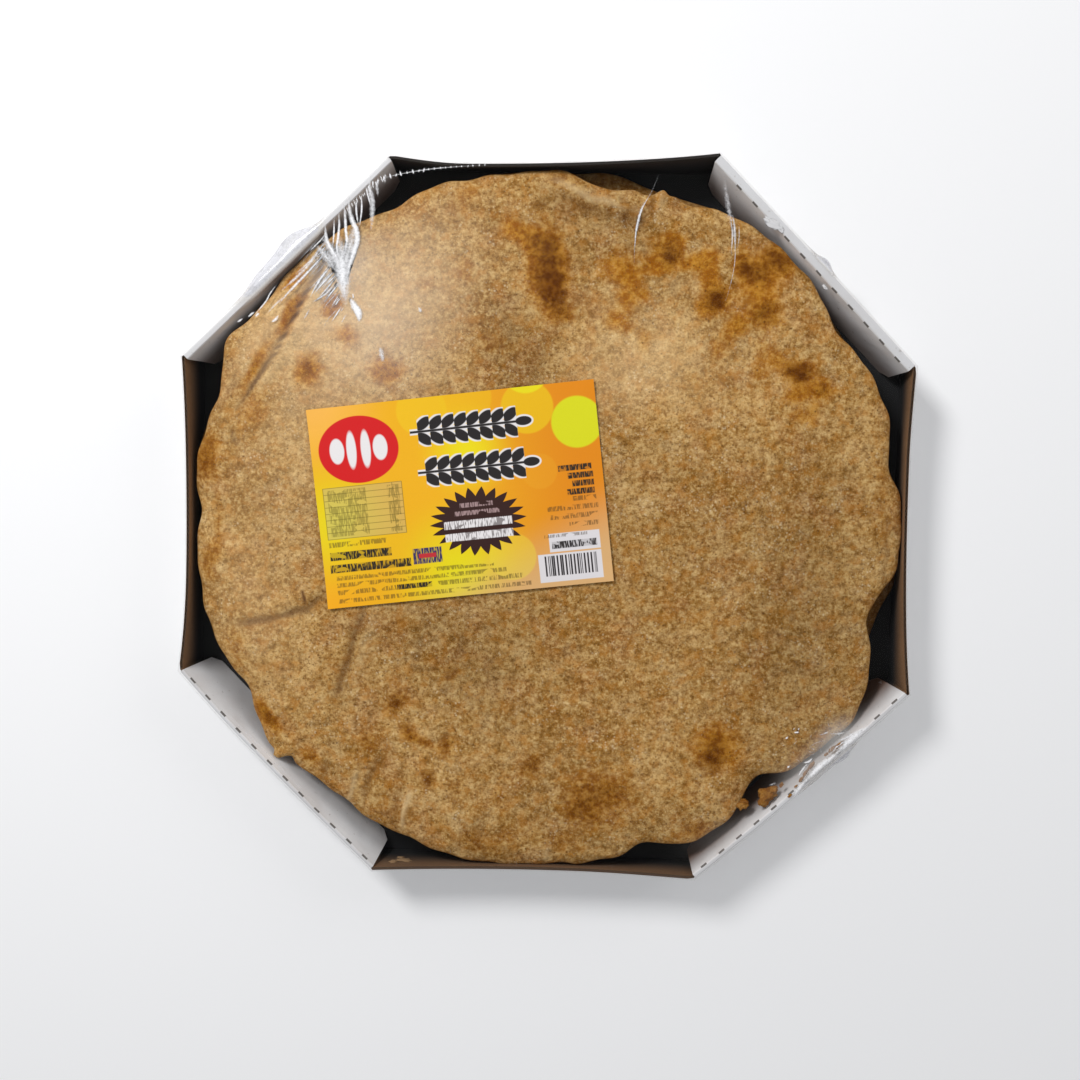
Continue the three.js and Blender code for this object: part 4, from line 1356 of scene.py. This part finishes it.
def foldGlintMaterial():
    # stretched and gathered film, white: partly its own whitening where stretched, partly painted glints;
    # broken up along its length
    s = Shader("glintingFilmCreases")
    cloud, torn = s.attribute("cloud"), s.grain(1.3, 4, 0.75)
    seen = (cloud * 1.25 - torn.ramp(0.35, 0.7) * 0.3).ramp(0.0, 1.0)
    return s.finish(
        Base_Color=linear(250, 250, 252), Roughness=0.5, Specular_IOR_Level=0.1, Alpha=seen.clamped())


def filmMaterial():
    s = Shader("clearFilm")
    cloud = s.attribute("cloud")
    fine = s.grain(0.9, 3, 0.7)
    slow = s.grain(17, 2, 0.5)
    facing = s.node("LayerWeight", {}, {"Blend": 0.5}, out="Facing")
    shine = facing.does("POWER", 5.0) * 0.9 + 0.005
    # where it stands loose it is pleated, and its colour is greyer as painted shade
    loose = cloud.ramp(0.4, 0.8)
    pleat = s.grain(4, 3, 0.6, stretch=(1, 1, 0.2))
    milk = (cloud * (fine * 0.5 + 0.75) * (1 - loose * pleat.ramp(0.45, 0.65) * 0.4)).clamped()
    s.base(loose, (240, 236, 230), (214, 214, 219))
    return s.finish(
        Base_Color=s.colour, Metallic=(shine / (shine + milk + 0.001)).clamped(), Roughness=0.12,
        Alpha=(shine + milk).clamped(), Normal=s.bump(slow * 0.7 + fine * 0.05, 0.6, 0.6))


wrapPiece = filmWrap()
dress(wrapPiece, filmMaterial())
foldPiece = filmFoldGlints()
dress(foldPiece, foldGlintMaterial())

print("crumbs")

# Torn bits under the film: middle, half sizes, turn
crumbs = [
    (119.8, -139.6, 26.6, 5.0, 3.6, 2.4, 52), (122.6, -136.6, 27.4, 2.4, 2.0, 1.6, 10),
    (107.2, -145.4, 25.4, 3.0, 2.4, 1.8, 30), (154.6, -111.4, 30.3, 3.4, 1.1, 0.6, 38),
    (151.2, -113.6, 30.2, 2.0, 0.9, 0.5, 46), (148.4, -116.2, 30.2, 1.2, 0.6, 0.4, 46),
    (141.0, -122.4, 30.2, 2.6, 0.9, 0.5, 52), (138.2, -126.4, 30.2, 2.0, 0.8, 0.45, 58),
    (136.2, -129.6, 30.3, 1.5, 0.8, 0.45, 60), (130.6, -138.4, 30.3, 1.1, 0.6, 0.4, 40),
    (133.6, -133.4, 30.2, 1.0, 0.5, 0.4, 40), (126.4, -133.4, 28.6, 1.3, 0.8, 0.6, 70),
]


def lumps(name, slot, entries, uneven, seed):
    # small uneven lumps, one joined mesh
    rows, columns = 18, 28
    points, faces = [], []
    for cx, cy, cz, a, b, c, turn in entries:
        first = len(points)
        for i in range(rows + 1):
            down = math.pi * i / rows
            for j in range(columns if 0 < i < rows else 1):
                at = 2 * math.pi * j / columns
                ray = Vector((math.sin(down) * math.cos(at), math.sin(down) * math.sin(at), math.cos(down)))
                size = 1 + uneven * noise.noise(ray * 1.4 + Vector((cx, cy, seed)))
                size += uneven * 0.6 * noise.noise(ray * 3.7 + Vector((cy, cx, seed)))
                size += uneven * 0.35 * noise.noise(ray * 9 + Vector((cy, cx, seed)))
                x, y = turnedOut(ray.x * a * size, ray.y * b * size, cx, cy, turn)
                points.append((x, y, cz + ray.z * c * size))
        low = first + 1 + (rows - 1) * columns
        for j in range(columns):
            k = (j + 1) % columns
            faces.append((first, first + 1 + j, first + 1 + k))
            faces.append((low, low - columns + k, low - columns + j))
            for i in range(rows - 2):
                a0 = first + 1 + i * columns
                faces.append((a0 + j, a0 + columns + j, a0 + columns + k, a0 + k))
    return addPiece(name, points, faces, slot)


crumbPiece = lumps("crumbs", "crust", crumbs, 0.55, 3)
paintAll(crumbPiece, toasted=0.35, golden=0.6, creased=0.0, rim=0.6, tone=0.0, shaded=0.12)
dress(crumbPiece, crust)

# Frayed spots of the board's paper, on the upper right flap's crease
frays = [
    (111.8, 152.2, 30.15, 4.6, 1.9, 0.28, -30), (115.2, 150.3, 30.1, 2.6, 1.3, 0.22, -45),
    (138.6, 121.5, 30.1, 1.5, 0.7, 0.2, -45),
]
frayPiece = lumps("boardFray", "board", frays, 0.6, 8)
paintAll(frayPiece, onTop=0.9)
dress(frayPiece, coated)

# A torn spot inside the near wall: how far along it, height, half sizes along, out and up
scuffs = [(13.8, 20.5, 4.3, 0.8, 2.0), (10.8, 15.5, 1.6, 0.5, 1.0), (8.2, 21.6, 1.9, 0.6, 2.0)]
torn = []
for along, z, *half in scuffs:
    x, y = wallSpots(6, along / wallLength[6], z, -tray["board"])
    torn.append((x, y, z, *half, 0))
tornPiece = lumps("boardTear", "board", torn, 0.8, 5)
dress(tornPiece, brownMaterial("tornBoard", (166, 136, 98), (112, 84, 58), (146, 116, 82)))

print("stage, lights and camera")


def stage():
    mesh = bpy.data.meshes.new("floor")
    half = 3.0
    corners = [(-half, -half, 0), (half, -half, 0), (half, half, 0), (-half, half, 0)]
    mesh.from_pydata(corners, [], [(0, 1, 2, 3)])
    floor = putIn("floor", mesh)
    s = Shader("paleFloor")
    dress(floor, s.finish(Base_Color=(0.92, 0.92, 0.925, 1), Roughness=0.9))


def softLight(name, place, size, power):
    # a round soft light that faces the pack's middle
    light = bpy.data.lights.new(name, "AREA")
    light.shape = "DISK"
    light.size, light.energy = size, power
    lamp = putIn(name, light)
    lamp.location = place
    lamp.rotation_euler = (Vector((0, 0, 0.02)) - Vector(place)).to_track_quat("-Z", "Y").to_euler()


lights = {
    "keyLight": ((-0.65, 0.78, 1.0), 0.4, 12.5), "fillLight": ((1.15, 0.95, 0.9), 0.9, 4),
}
camera = {"place": (0.0206, 0.0264, 0.630), "turn": (-3.39, 2.19, 1.38), "lens": 39.02}

stage()
for name, (place, size, power) in lights.items():
    softLight(name, place, size, power)
world = bpy.data.worlds.new("studio")
world.use_nodes = True
world.node_tree.nodes["Background"].inputs[0].default_value = (0.97, 0.98, 1.0, 1)
world.node_tree.nodes["Background"].inputs[1].default_value = 0.5
bpy.context.scene.world = world
bpy.context.scene.view_settings.view_transform = "Standard"

lensData = bpy.data.cameras.new("photoCamera")
lensData.sensor_width = 36
lensData.lens = camera["lens"]
lensData.clip_start = 0.01
eye = putIn("photoCamera", lensData)
eye.location = camera["place"]
eye.rotation_euler = [math.radians(turn) for turn in camera["turn"]]
bpy.context.scene.camera = eye
